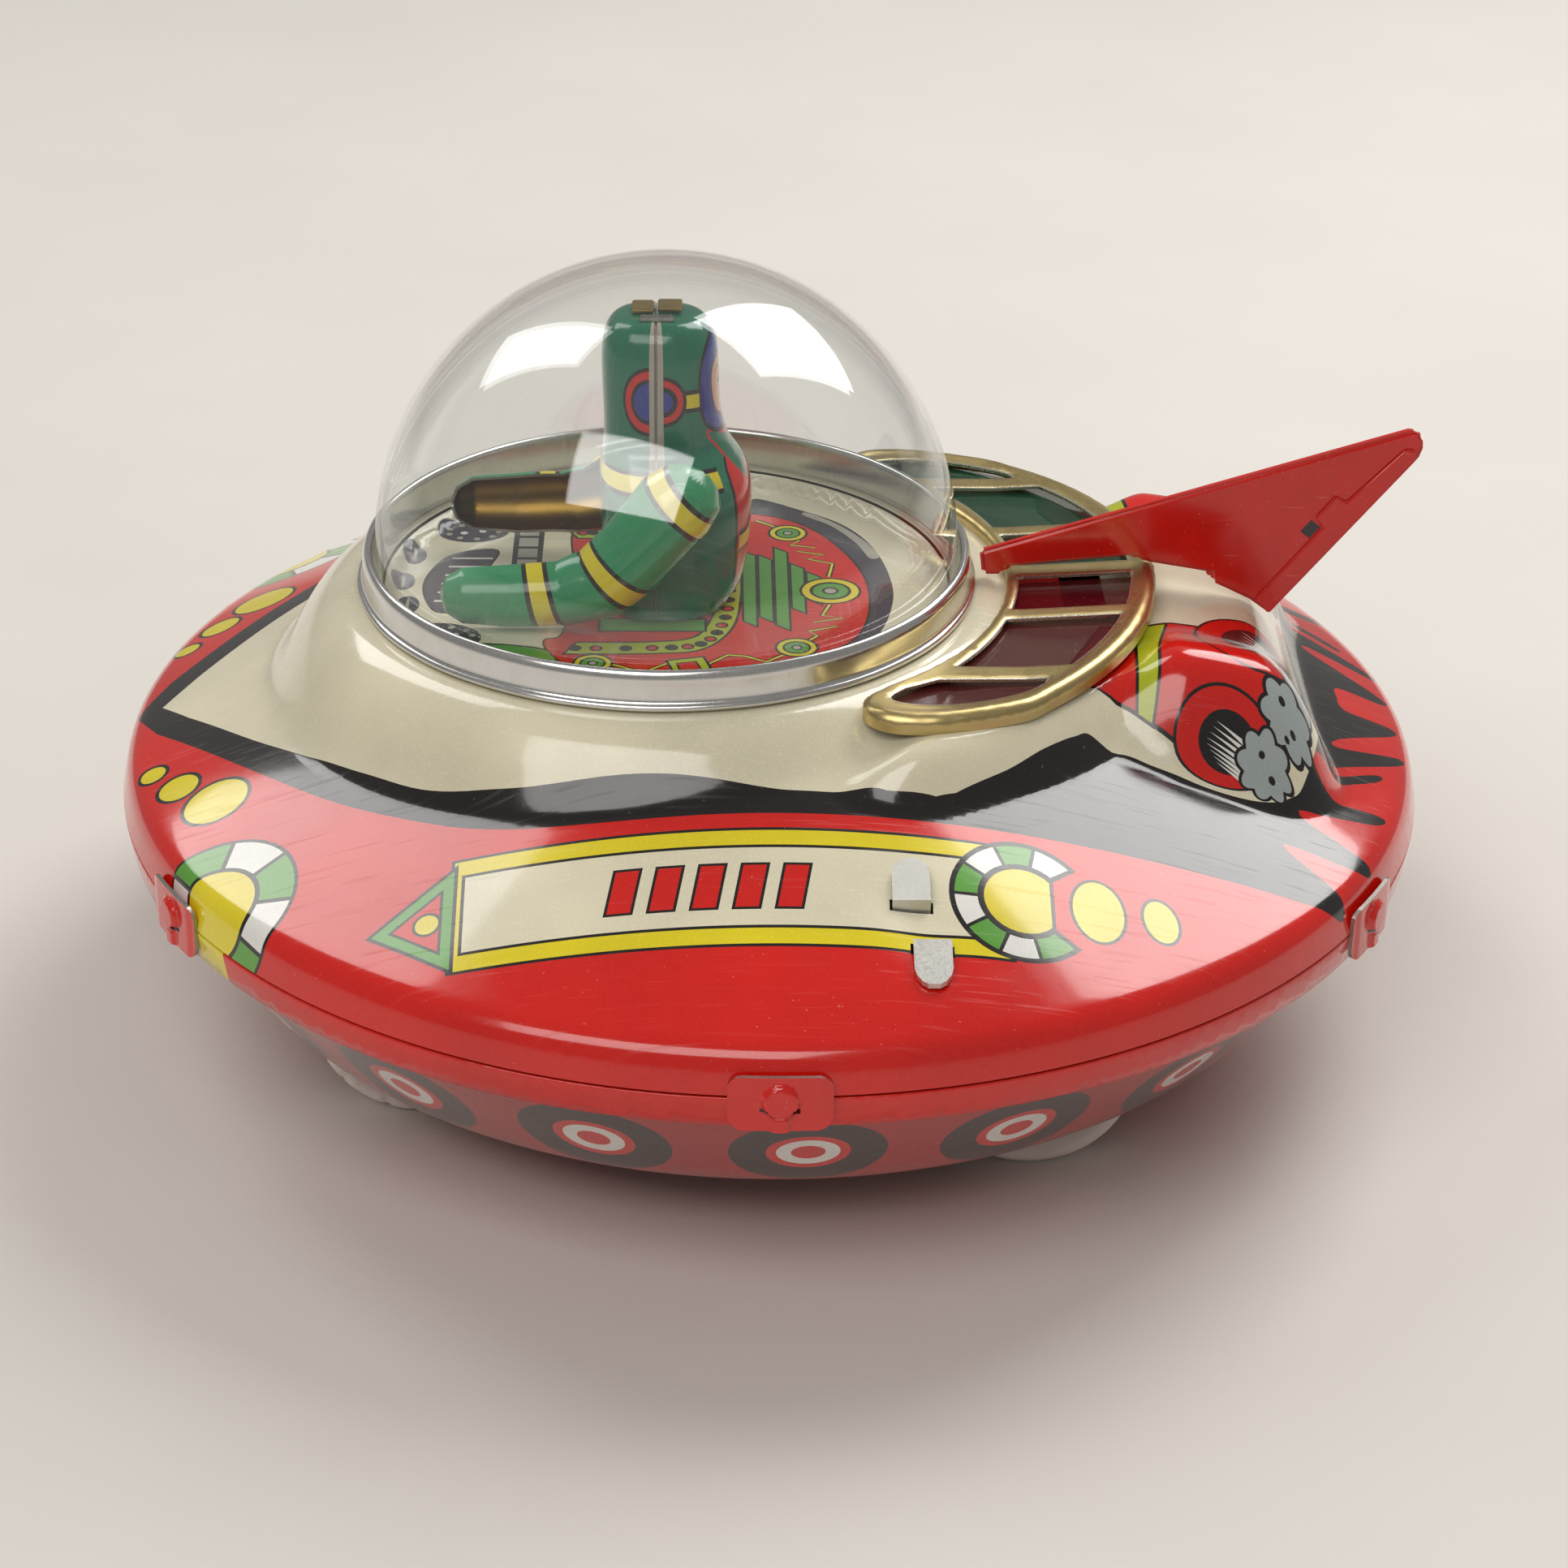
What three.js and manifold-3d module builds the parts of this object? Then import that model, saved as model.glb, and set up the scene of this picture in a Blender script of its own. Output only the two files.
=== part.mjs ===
// Wind-up tin flying saucer with a clear dome, a pilot, a spark window canopy and a tail fin.
// Millimetres, +Z up. The origin is on the floor under the axis of the round rim.
// +X points to the tail fin and -Y to the red windows.
import * as THREE from 'three';
import { mergeVertices } from 'three/addons/utils/BufferGeometryUtils.js';
import Module from 'manifold-3d';

const wasm = await Module();
wasm.setup();

// ---------------------------------------------------------------- driving dimensions

const SEAM_Z = 33;            // height of the joint between the two shells above the floor
const SEAM_R = 83;            // outer radius of the shells at that joint
const SHELL_BEND_R = 80;      // where the sloping top turns down into the skirt
const HOLE_R = 36;            // round hole under the dome
const TIN = 0.6;              // sheet thickness of the pressed parts
const GAP = 0.3;              // clearance between neighbouring parts
const SEGMENTS = 60;          // facets round the shells

const DOME_X = -13.35;        // axis of the dome, the ring and the pilot's floor
const DOME_R = 36.7;
const SHELF_Z = SEAM_Z + 25.4;
const RING_FLANGE_R = 39.1;
const FLOOR_Z = SEAM_Z + 23.8;

const CANOPY_X = 2;           // centre of the canopy's round rear edge
const CANOPY_R = 46.5;

const MODULE = 0.7;           // gear tooth module
const PLATE_Y = 11;           // half distance between the inner faces of the motor plates

const REAR_AXLE = { x: 31.5, z: 13.05, track: 44, wheelR: 13.05 };
const FRONT_AXLE = { x: -44, z: 13.05, track: 32.5, wheelR: 13.05 };
const WHEEL_WIDTH = 5;

// ---------------------------------------------------------------- materials

function paint(colour, roughness = 0.3, metalness = 0.1) {
  return new THREE.MeshStandardMaterial({ color: colour, roughness, metalness });
}

const redTin = paint(0xd21f14, 0.25);
const creamTin = paint(0xe9e0c4, 0.3);
const greenTin = paint(0x1f7d5a, 0.3);
const goldTin = paint(0xb99a55, 0.3, 0.9);
const bareTin = paint(0xb9b9b6, 0.35, 0.9);
const steel = paint(0x8d8f92, 0.35, 0.9);
const brass = paint(0xb8933f, 0.3, 0.9);
const whiteTin = paint(0xe8e4da, 0.35);
const flintGrey = paint(0x4a4a4c, 0.8, 0);
const clearPlastic = new THREE.MeshStandardMaterial({
  color: 0xeef3f4, roughness: 0.08, metalness: 0, transparent: true, opacity: 0.25 });
const redFilm = new THREE.MeshStandardMaterial({
  color: 0x7a1420, roughness: 0.15, metalness: 0, transparent: true, opacity: 0.6 });
const greenFilm = new THREE.MeshStandardMaterial({
  color: 0x1d6a45, roughness: 0.15, metalness: 0, transparent: true, opacity: 0.6 });

// ---------------------------------------------------------------- helpers

const group = new THREE.Group();

function add(name, geometry, material) {
  const mesh = new THREE.Mesh(geometry, material);
  mesh.name = name;
  group.add(mesh);
  return mesh;
}

// Turns the faces of a closed surface to point outwards.
function outward(geometry) {
  const index = geometry.index.array;
  const position = geometry.attributes.position;
  const corner = (i) => new THREE.Vector3().fromBufferAttribute(position, index[i]);
  let volume = 0;
  for (let i = 0; i < index.length; i += 3) {
    volume += corner(i).dot(corner(i + 1).cross(corner(i + 2)));
  }
  if (volume < 0) {
    geometry.setIndex(Array.from(index).reverse());
  }
  return geometry;
}

function toSolid(geometry) {
  const bare = geometry.clone();
  for (const attribute of ['normal', 'uv']) {
    bare.deleteAttribute(attribute);
  }
  const merged = mergeVertices(bare, 1e-4);
  return new wasm.Manifold(new wasm.Mesh({
    numProp: 3,
    vertProperties: new Float32Array(merged.attributes.position.array),
    triVerts: new Uint32Array(merged.index.array) }));
}

function toGeometry(solid) {
  const mesh = solid.getMesh();
  const geometry = new THREE.BufferGeometry();
  geometry.setAttribute('position', new THREE.BufferAttribute(mesh.vertProperties, 3));
  geometry.setIndex(new THREE.BufferAttribute(mesh.triVerts, 1));
  geometry.computeVertexNormals();
  return geometry;
}

function subtract(geometry, ...cutters) {
  return toGeometry(cutters.reduce((rest, cutter) => rest.subtract(toSolid(cutter)), toSolid(geometry)));
}

function unite(geometry, ...others) {
  return toGeometry(others.reduce((whole, other) => whole.add(toSolid(other)), toSolid(geometry)));
}

function box(low, high) {
  const size = high.map((value, axis) => value - low[axis]);
  const geometry = new THREE.BoxGeometry(...size);
  return geometry.translate(...low.map((value, axis) => value + size[axis] / 2));
}

function outline(points) {
  return new THREE.Shape(points.map(([u, v]) => new THREE.Vector2(u, v)));
}

function circlePoints(x, y, radius, count, phase = 0) {
  const points = [];
  for (let i = 0; i < count; i += 1) {
    const angle = phase + (i / count) * 2 * Math.PI;
    points.push([x + radius * Math.cos(angle), y + radius * Math.sin(angle)]);
  }
  return points;
}

function hole(x, y, radius, count = 12) {
  return new THREE.Path(circlePoints(x, y, radius, count).map(([u, v]) => new THREE.Vector2(u, v)));
}

// A flat shape drawn in X and Z, given thickness from y0 up to y1.
function plateXZ(shape, y0, y1) {
  const geometry = new THREE.ExtrudeGeometry(shape, { depth: y1 - y0, bevelEnabled: false });
  return geometry.rotateX(Math.PI / 2).translate(0, y1, 0);
}

// A flat shape drawn in X and Y, given thickness from z0 up to z1.
function plateXY(shape, z0, z1) {
  const geometry = new THREE.ExtrudeGeometry(shape, { depth: z1 - z0, bevelEnabled: false });
  return geometry.translate(0, 0, z0);
}

// A flat shape drawn in Y and Z, given thickness from x0 up to x1.
function plateYZ(shape, x0, x1) {
  const geometry = new THREE.ExtrudeGeometry(shape, { depth: x1 - x0, bevelEnabled: false });
  return geometry.rotateX(Math.PI / 2).rotateZ(Math.PI / 2).translate(x0, 0, 0);
}

// A profile of [radius, height] points turned about the vertical line through x.
function turnZ(points, segments, x = 0) {
  const profile = points.map(([r, z]) => new THREE.Vector2(r, z));
  const geometry = new THREE.LatheGeometry(profile, segments);
  return outward(geometry.rotateX(Math.PI / 2).translate(x, 0, 0));
}

// A profile of [radius, distance along Y] points turned about the axle line through x and z.
function turnY(points, segments, x, z) {
  const profile = points.map(([r, y]) => new THREE.Vector2(r, y));
  return outward(new THREE.LatheGeometry(profile, segments).translate(x, 0, z));
}

function shaft(x, z, radius, y0, y1, segments = 12) {
  return plateXZ(outline(circlePoints(x, z, radius, segments)), y0, y1);
}

// Closed surface from rings of points: the outer rings in order, then the inner rings back.
function ringSurface(rings) {
  const count = rings[0].length;
  const positions = rings.flat(2);
  const indices = [];
  for (let i = 0; i < rings.length; i += 1) {
    const next = (i + 1) % rings.length;
    for (let j = 0; j < count; j += 1) {
      const a = i * count + j;
      const b = i * count + ((j + 1) % count);
      const c = next * count + j;
      const d = next * count + ((j + 1) % count);
      indices.push(a, c, b, b, c, d);
    }
  }
  const geometry = new THREE.BufferGeometry();
  geometry.setAttribute('position', new THREE.Float32BufferAttribute(positions, 3));
  geometry.setIndex(indices);
  return outward(geometry);
}

// Closed solid through stacked sections with the same number of points and flat ends.
function loft(sections) {
  const count = sections[0].length;
  const positions = sections.flat(2);
  const indices = [];
  for (let i = 0; i + 1 < sections.length; i += 1) {
    for (let j = 0; j < count; j += 1) {
      const a = i * count + j;
      const b = i * count + ((j + 1) % count);
      indices.push(a, b, a + count, b, b + count, a + count);
    }
  }
  const last = (sections.length - 1) * count;
  for (let j = 1; j + 1 < count; j += 1) {
    indices.push(0, j + 1, j);
    indices.push(last, last + j, last + j + 1);
  }
  const geometry = new THREE.BufferGeometry();
  geometry.setAttribute('position', new THREE.Float32BufferAttribute(positions, 3));
  geometry.setIndex(indices);
  return outward(geometry);
}

// Closed solid through C-shaped loops, each an outer row of points followed by its inner row back.
function openShell(loops) {
  const count = loops[0].length;
  const positions = loops.flat(2);
  const indices = [];
  for (let i = 0; i + 1 < loops.length; i += 1) {
    for (let j = 0; j < count; j += 1) {
      const a = i * count + j;
      const b = i * count + ((j + 1) % count);
      indices.push(a, b, a + count, b, b + count, a + count);
    }
  }
  const last = (loops.length - 1) * count;
  for (let j = 0; j + 1 < count / 2; j += 1) {
    const k = count - 1 - j;
    indices.push(j, k - 1, j + 1, j, k, k - 1);
    indices.push(last + j, last + j + 1, last + k - 1, last + j, last + k - 1, last + k);
  }
  const geometry = new THREE.BufferGeometry();
  geometry.setAttribute('position', new THREE.Float32BufferAttribute(positions, 3));
  geometry.setIndex(indices);
  return outward(geometry);
}

// ---------------------------------------------------------------- height of the upper shell

const PLATEAU = 23.9;         // height above the joint of the flat top under the canopy
const DISC = { edge: 5.75, slope: 0.43, ease: 0.0012 };
const RING_HUMP_FALL = 0.11;
const CANOPY_HUMP = { margin: 1.5, fall: 0.3, frontX: 20, frontFall: 0.04 };
const TAIL_HUMP = {
  stepX: [44, 50], crestX: 42, crestFall: 0.0075, sideY: 23.5, sideFall: 0.12,
  endX: 59, endFall: 0.115, frontX: 20, frontFall: 0.05 };
const POD = { y: 23, spread: 7, rise: 2.4, stepX: [41, 50] };
const SHELF_BLEND = 2;        // width of the change from the dome's flat shelf to the slope
const DISC_BLEND = 3;         // reach of the rounding where the humps meet the disc

// The greater of two heights, rounded where they differ by less than the reach.
function smoothMax(a, b, reach) {
  const nearness = Math.max(0, 1 - Math.abs(a - b) / reach);
  return Math.max(a, b) + (reach / 4) * nearness ** 2;
}

function smoothStep(low, high, value) {
  const t = Math.min(1, Math.max(0, (value - low) / (high - low)));
  return t * t * (3 - 2 * t);
}

function discHeight(radius) {
  const inward = SHELL_BEND_R - radius;
  return SEAM_Z + Math.min(PLATEAU, DISC.edge + DISC.slope * inward - DISC.ease * inward ** 2);
}

function ringHumpHeight(x, y) {
  const outside = Math.max(0, Math.hypot(x - DOME_X, y) - RING_FLANGE_R);
  return SHELF_Z - RING_HUMP_FALL * outside ** 2;
}

function canopyHumpHeight(x, y) {
  const { margin, fall, frontX, frontFall } = CANOPY_HUMP;
  const outside = Math.max(0, Math.hypot(x - CANOPY_X, y) - (CANOPY_R - margin));
  return SEAM_Z + PLATEAU - fall * outside ** 2 - frontFall * Math.max(0, frontX - x) ** 2;
}

// The tail hump carries the two rocket pods, one each side of the fin.
function tailHumpHeight(x, y) {
  const t = TAIL_HUMP;
  const side = Math.abs(y);
  const crown = PLATEAU + smoothStep(...t.stepX, x) - t.crestFall * Math.max(0, x - t.crestX) ** 2;
  const pod = POD.rise * Math.exp(-(((side - POD.y) / POD.spread) ** 2)) * smoothStep(...POD.stepX, x);
  const sideFall = t.sideFall * Math.max(0, side - t.sideY) ** 2;
  const endFall = t.endFall * Math.max(0, x - t.endX) ** 2;
  const frontFall = t.frontFall * Math.max(0, t.frontX - x) ** 2;
  return SEAM_Z + crown + pod - sideFall - endFall - frontFall;
}

function shellHeight(x, y) {
  const hump = smoothMax(ringHumpHeight(x, y), canopyHumpHeight(x, y), 1);
  const withTail = smoothMax(hump, tailHumpHeight(x, y), 1);
  const all = smoothMax(discHeight(Math.hypot(x, y)), withTail, DISC_BLEND);
  const gap = Math.hypot(x - DOME_X, y);
  const onShelf = 1 - smoothStep(RING_FLANGE_R, RING_FLANGE_R + SHELF_BLEND, gap);
  return all * (1 - onShelf) + SHELF_Z * onShelf;
}

// ---------------------------------------------------------------- shells

const SHELL_SLITS = [{ x: 15.2, y: 61.6, tab: -1 }, { x: 17.4, y: 67.4, tab: 1 }];
const TAB_WIDTH = 4.4;
const TAB_REACH = 5.6;        // from the middle of its slit to the end of a folded tab
const TAB_THICK = 0.7;
const SLIT_HALF = 0.75;
const SPARK_WELL = { x: [27, 42], halfY: 9 };

function upperShell() {
  const rows = 8;
  const inner = (angle) => [DOME_X + HOLE_R * Math.cos(angle), HOLE_R * Math.sin(angle)];
  const outer = (angle) => [SHELL_BEND_R * Math.cos(angle), SHELL_BEND_R * Math.sin(angle)];
  const angles = Array.from({ length: SEGMENTS }, (_, i) => (i / SEGMENTS) * 2 * Math.PI);
  const field = (drop) => Array.from({ length: rows + 1 }, (_, row) => angles.map((angle) => {
    const t = (row / rows) ** 1.15;
    const [x0, y0] = inner(angle);
    const [x1, y1] = outer(angle);
    const x = x0 + (x1 - x0) * t;
    const y = y0 + (y1 - y0) * t;
    return [x, y, shellHeight(x, y) - drop];
  }));
  const hoop = (radius, z) => angles.map((angle) => [
    radius * Math.cos(angle), radius * Math.sin(angle), SEAM_Z + z]);
  const skirtOutside = [[81.3, 4.9], [82.3, 3.1], [SEAM_R, 0.15]];
  const skirtInside = [[SEAM_R - TIN, 0.15], [81.75, 2.8], [80.9, 4.3]];
  const rings = [
    ...field(0),
    ...skirtOutside.map(([r, z]) => hoop(r, z)),
    ...skirtInside.map(([r, z]) => hoop(r, z)),
    ...field(TIN + 0.1).reverse()];
  const well = SPARK_WELL;
  const sparkWell = box([well.x[0], -well.halfY, SEAM_Z + 15], [well.x[1], well.halfY, SEAM_Z + 30]);
  const slits = [-1, 1].flatMap((side) => SHELL_SLITS.map(({ x, y }) => {
    const half = TAB_WIDTH / 2 + GAP;
    const middle = side * y;
    return box([x - half, middle - SLIT_HALF, SEAM_Z], [x + half, middle + SLIT_HALF, SEAM_Z + 25]);
  }));
  return subtract(ringSurface(rings), sparkWell, ...slits);
}

// The bowl under the rim: [radius, height above the joint] of its outer face.
const BOWL = [[83, -0.2], [82.4, -4.1], [80.6, -4.9], [71.5, -17.4], [69.3, -19.8],
  [66, -22.1], [60, -26], [55.5, -28.8], [48, -30.3]];
const BOWL_BOTTOM_Z = SEAM_Z - 30.3;
const KEY_AXIS = { x: REAR_AXLE.x - 29.636, z: SEAM_Z - 14.5 };

function lowerShell() {
  const outside = [[0, -30.3], ...BOWL.slice().reverse(), [81.8, -0.2], [81.8, 1.3]];
  const inside = [[81.2, 1.3], [81.2, -3.8], [79.9, -4.4], [71, -17.05], [68.9, -19.3],
    [65.7, -21.5], [59.7, -25.4], [55.3, -28.2], [48, -29.7], [0, -29.7]];
  const profile = [...outside, ...inside].map(([r, z]) => [r, z + SEAM_Z]);
  const slots = [FRONT_AXLE, REAR_AXLE].flatMap(({ x, track, wheelR }) => [-1, 1].map((side) => box(
    [x - wheelR - 1.5, side * track - WHEEL_WIDTH / 2 - 1.5, -1],
    [x + wheelR + 1.5, side * track + WHEEL_WIDTH / 2 + 1.5, SEAM_Z - 5.5])));
  const keyHole = plateXZ(outline(circlePoints(KEY_AXIS.x, KEY_AXIS.z, 3, 16)), 60, 80);
  return subtract(turnZ(profile, SEGMENTS), ...slots, keyHole);
}

add('upper_shell', upperShell(), redTin);
add('lower_shell', lowerShell(), redTin);

// ---------------------------------------------------------------- rim clips

function rimClip(angle) {
  const plate = new THREE.Shape();
  const halfWidth = 5.8;
  const low = -3.9;
  const high = 3;
  const corner = 1.6;
  plate.moveTo(-halfWidth + corner, low);
  plate.lineTo(halfWidth - corner, low);
  plate.quadraticCurveTo(halfWidth, low, halfWidth, low + corner);
  plate.lineTo(halfWidth, high - corner);
  plate.quadraticCurveTo(halfWidth, high, halfWidth - corner, high);
  plate.lineTo(-halfWidth + corner, high);
  plate.quadraticCurveTo(-halfWidth, high, -halfWidth, high - corner);
  plate.lineTo(-halfWidth, low + corner);
  plate.quadraticCurveTo(-halfWidth, low, -halfWidth + corner, low);
  const body = new THREE.ExtrudeGeometry(plate, { depth: 0.6, bevelEnabled: false, curveSegments: 3 });
  const dimple = new THREE.CylinderGeometry(2.1, 2.3, 0.9, 16).rotateX(Math.PI / 2).translate(0, 0.6, 0.55);
  const tongue = box([-1.1, -3.6, 0.1], [1.1, -1.2, 1]);
  return unite(body, dimple, tongue)
    .rotateX(Math.PI / 2)
    .rotateZ(Math.PI / 2)
    .translate(SEAM_R + 0.35, 0, SEAM_Z)
    .rotateZ(angle);
}

for (let i = 0; i < 6; i += 1) {
  add(`rim_clip_${i + 1}`, rimClip(((30 + 60 * i) * Math.PI) / 180), redTin);
}

// ---------------------------------------------------------------- dome, ring and pilot's floor

const RING_Z = SHELF_Z + GAP;
const DOME_Z = SEAM_Z + 30.2;

function domeRing() {
  const profile = [
    [37.1, RING_Z], [RING_FLANGE_R, RING_Z], [RING_FLANGE_R, RING_Z + 0.9], [38.5, RING_Z + 1.3],
    [38.3, RING_Z + 4.1], [37.6, RING_Z + 4.9], [37.1, RING_Z + 4.5], [37.1, RING_Z]];
  return turnZ(profile, 48, DOME_X);
}

function dome() {
  const wall = 0.9;
  const steps = 8;
  const outside = [];
  const inside = [];
  for (let i = 0; i <= steps; i += 1) {
    const angle = (i / steps) * (Math.PI / 2);
    outside.push([DOME_R * Math.cos(angle), DOME_Z + DOME_R * Math.sin(angle)]);
    inside.push([(DOME_R - wall) * Math.cos(angle), DOME_Z + (DOME_R - wall) * Math.sin(angle)]);
  }
  outside[steps][0] = 0;
  inside[steps][0] = 0;
  const foot = [[DOME_R - wall, RING_Z], [DOME_R, RING_Z]];
  return turnZ([...inside.reverse(), ...foot, ...outside], 36, DOME_X);
}

function cockpitFloor() {
  const profile = [
    [0, FLOOR_Z - TIN], [35.6, FLOOR_Z - TIN], [35.6, SHELF_Z - 0.1], [35.1, SHELF_Z - 0.1],
    [35.1, FLOOR_Z], [0, FLOOR_Z]];
  return turnZ(profile, 48, DOME_X);
}

add('dome', dome(), clearPlastic);
add('dome_ring', domeRing(), bareTin);
add('cockpit_floor', cockpitFloor(), creamTin);

// ---------------------------------------------------------------- pilot

const PILOT_SEAM_X = -14.6;
const PILOT_WALL = 0.6;
// [height above the floor of the cockpit, back x, front x, half width]
const PILOT_SECTIONS = [
  [0.3, -20.6, -5.5, 10.6], [4, -21, -3, 11], [11, -21.5, -2.3, 11], [16.5, -21.6, -2.8, 10.6],
  [19.5, -21.3, -4.6, 8.6], [21.5, -20.9, -5.8, 6.9], [25, -21, -6.7, 6.5], [31, -21.2, -7, 6.7],
  [35, -21, -7.3, 6.4], [36.7, -20, -8.3, 5.2], [37.4, -18, -10.2, 3.2]];

function pilotSolid(shrink, reachDown) {
  const count = 16;
  const sections = PILOT_SECTIONS.map(([height, back, front, half], index) => {
    const centre = (back + front) / 2;
    const deep = (front - back) / 2 - shrink;
    const wide = half - shrink;
    const isTop = index === PILOT_SECTIONS.length - 1;
    const z = FLOOR_Z + height - (isTop ? shrink : 0) - (index === 0 ? reachDown : 0);
    return Array.from({ length: count }, (_, i) => {
      const angle = (i / count) * 2 * Math.PI;
      const squareness = 0.75;
      const u = Math.sign(Math.cos(angle)) * Math.abs(Math.cos(angle)) ** squareness;
      const v = Math.sign(Math.sin(angle)) * Math.abs(Math.sin(angle)) ** squareness;
      return [centre + deep * u, wide * v, z];
    });
  });
  return toSolid(loft(sections));
}

function pilotHalf(front) {
  const cut = front ? [-40, PILOT_SEAM_X + GAP / 2] : [PILOT_SEAM_X - GAP / 2, 20];
  const other = toSolid(box([cut[0], -30, FLOOR_Z - 5], [cut[1], 30, FLOOR_Z + 60]));
  return toGeometry(pilotSolid(0, 0).subtract(pilotSolid(PILOT_WALL, 3)).subtract(other));
}

// Each arm is one pressing, a half tube that is open on the side against the body.
// The stations run from the shoulder to the hand: x, height above the joint, radius, lean.
const ARM_STATIONS = [
  [-8.6, 44.4, 1.5, 50], [-9.8, 43, 4.4, 50], [-12, 40.6, 5.2, 50], [-17.5, 33.6, 5, 47],
  [-21.5, 30, 4.8, 32], [-26, 28.6, 4.2, 12], [-33, 28.2, 4, 2], [-38.5, 28.2, 3.6, 0],
  [-41, 28.2, 1.4, 0]];
const ARM_OPEN_Y = 11.6;
const FAR_ARM_RAISE = 2;

// One edge-to-edge half circle of an arm, from its upper lip round the outside to its lower lip.
function armArc([x, z, r, leanDegrees], side, shrink) {
  const steps = 6;
  const lean = ((leanDegrees + 90) * Math.PI) / 180;
  const lift = side > 0 ? FAR_ARM_RAISE * smoothStep(-12, -30, x) : 0;
  const radius = Math.max(0.4, r - shrink);
  return Array.from({ length: steps + 1 }, (_, i) => {
    const angle = (i / steps) * Math.PI;
    const across = radius * Math.cos(angle);
    return [
      x + across * Math.cos(lean),
      side * (ARM_OPEN_Y + 1.05 * radius * Math.sin(angle)),
      SEAM_Z + z + lift + across * Math.sin(lean)];
  });
}

function pilotArm(side) {
  const loops = ARM_STATIONS.map((station) => [
    ...armArc(station, side, 0), ...armArc(station, side, TIN).reverse()]);
  return openShell(loops);
}

add('pilot_front_half', pilotHalf(true), greenTin);
add('pilot_back_half', pilotHalf(false), greenTin);
add('pilot_near_arm', pilotArm(-1), greenTin);
add('pilot_far_arm', pilotArm(1), greenTin);

// ---------------------------------------------------------------- canopy and its windows

const CANOPY_TIN = 0.8;

function canopyUnderside(x, y) {
  return SEAM_Z + 25.6 + 0.06 * Math.max(0, x - 30) - 0.0003 * y ** 2;
}

// Bends a flat plate that was drawn from height zero to lie on the canopy's curved surface.
function drapeOnCanopy(geometry) {
  const position = geometry.attributes.position;
  for (let i = 0; i < position.count; i += 1) {
    const height = position.getZ(i) + canopyUnderside(position.getX(i), position.getY(i));
    position.setZ(i, height);
  }
  return geometry;
}

function arcPoints(x, radius, fromDegrees, toDegrees, steps) {
  return Array.from({ length: steps + 1 }, (_, i) => {
    const angle = ((fromDegrees + ((toDegrees - fromDegrees) * i) / steps) * Math.PI) / 180;
    return [x + radius * Math.cos(angle), radius * Math.sin(angle)];
  });
}

// Half of the outline, from the middle of the rear edge round the corner to the inner edge.
function canopyHalfOutline(inset) {
  const rear = arcPoints(CANOPY_X, CANOPY_R - inset, 0, 47, 8);
  const corner = [
    [26, 39 - inset], [18.3, 41.2 - inset], [12.6 + inset / 3, 40.3 - inset],
    [10.2 + inset, 37.5], [10.8 + inset, 34.2]];
  const innerEdge = arcPoints(-9.35, 39 + inset, 55 - inset / 2, 0, 7);
  return [...rear, ...corner, ...innerEdge];
}

function mirrored(points) {
  return points.map(([x, y]) => [x, -y]).reverse();
}

function path(points) {
  return new THREE.Path(points.map(([u, v]) => new THREE.Vector2(u, v)));
}

// Openings on the +Y side, between the cross bars.
function canopyWindows() {
  const innerR = 44.5;
  const outerR = 43.5;
  const innerX = (y) => DOME_X + Math.sqrt(innerR ** 2 - y ** 2);
  const outerX = (y) => CANOPY_X + Math.sqrt(outerR ** 2 - y ** 2);
  const bay = (low, high) => {
    const ys = [low, (low + high) / 2, high];
    return [...ys.map((y) => [innerX(y), y]), ...ys.reverse().map((y) => [outerX(y), y])];
  };
  const cornerBay = [
    [19.5, 30.4], [33.3, 30.4], [29.5, 33.6], [24.5, 35.9], [18.5, 36.6], [13.9, 35.6],
    [13.5, 34.6], [16, 32.6]];
  return [bay(1.8, 11.2), bay(14, 27), cornerBay];
}

function canopyFrame() {
  const half = canopyHalfOutline(0);
  const sheet = outline([...half, ...mirrored(half).slice(1, -1)]);
  for (const opening of canopyWindows()) {
    sheet.holes.push(path(opening), path(mirrored(opening)));
  }
  const rimInside = canopyHalfOutline(0.9);
  const rim = outline([...half, ...mirrored(half).slice(1, -1)]);
  rim.holes.push(path([...rimInside, ...mirrored(rimInside).slice(1, -1)]));
  const besideRing = new THREE.CylinderGeometry(44.8, 44.8, 100, SEGMENTS)
    .rotateX(Math.PI / 2).translate(DOME_X, 0, SEAM_Z);
  const rimWall = toSolid(drapeOnCanopy(plateXY(rim, -1.1, CANOPY_TIN * 0.6)));
  const solid = toSolid(drapeOnCanopy(plateXY(sheet, 0, CANOPY_TIN)))
    .add(rimWall.subtract(toSolid(besideRing)));
  return toGeometry(solid);
}

function windowFilm(side) {
  const rear = arcPoints(CANOPY_X, CANOPY_R - 1.9, 1.8, 46, 8);
  const corner = [[25, 37], [18.3, 38.6], [13.4, 37.6], [12.3, 36]];
  const innerEdge = arcPoints(DOME_X, 43.6, 52.5, 2.2, 7);
  const half = [...rear, ...corner, ...innerEdge];
  const shape = outline(side > 0 ? half : mirrored(half));
  return drapeOnCanopy(plateXY(shape, -0.6, -0.3));
}

add('canopy_frame', canopyFrame(), goldTin);
add('red_window_film', windowFilm(-1), redFilm);
add('green_window_film', windowFilm(1), greenFilm);

// ---------------------------------------------------------------- tail fin

// The folded fin in X and in height above the joint, from its front foot round to its nose.
const FIN = [
  [26.6, 26.1], [29.3, 26.1], [29.6, 27.3], [45.9, 28.8], [47.7, 27.9], [54.1, 26.8],
  [55.7, 26.4], [55.9, 25.2], [60.8, 22.8], [63.5, 20.8], [80.8, 42.4], [81.2, 44.6],
  [80.4, 46], [79, 46.1], [26.2, 29.3]];

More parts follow.
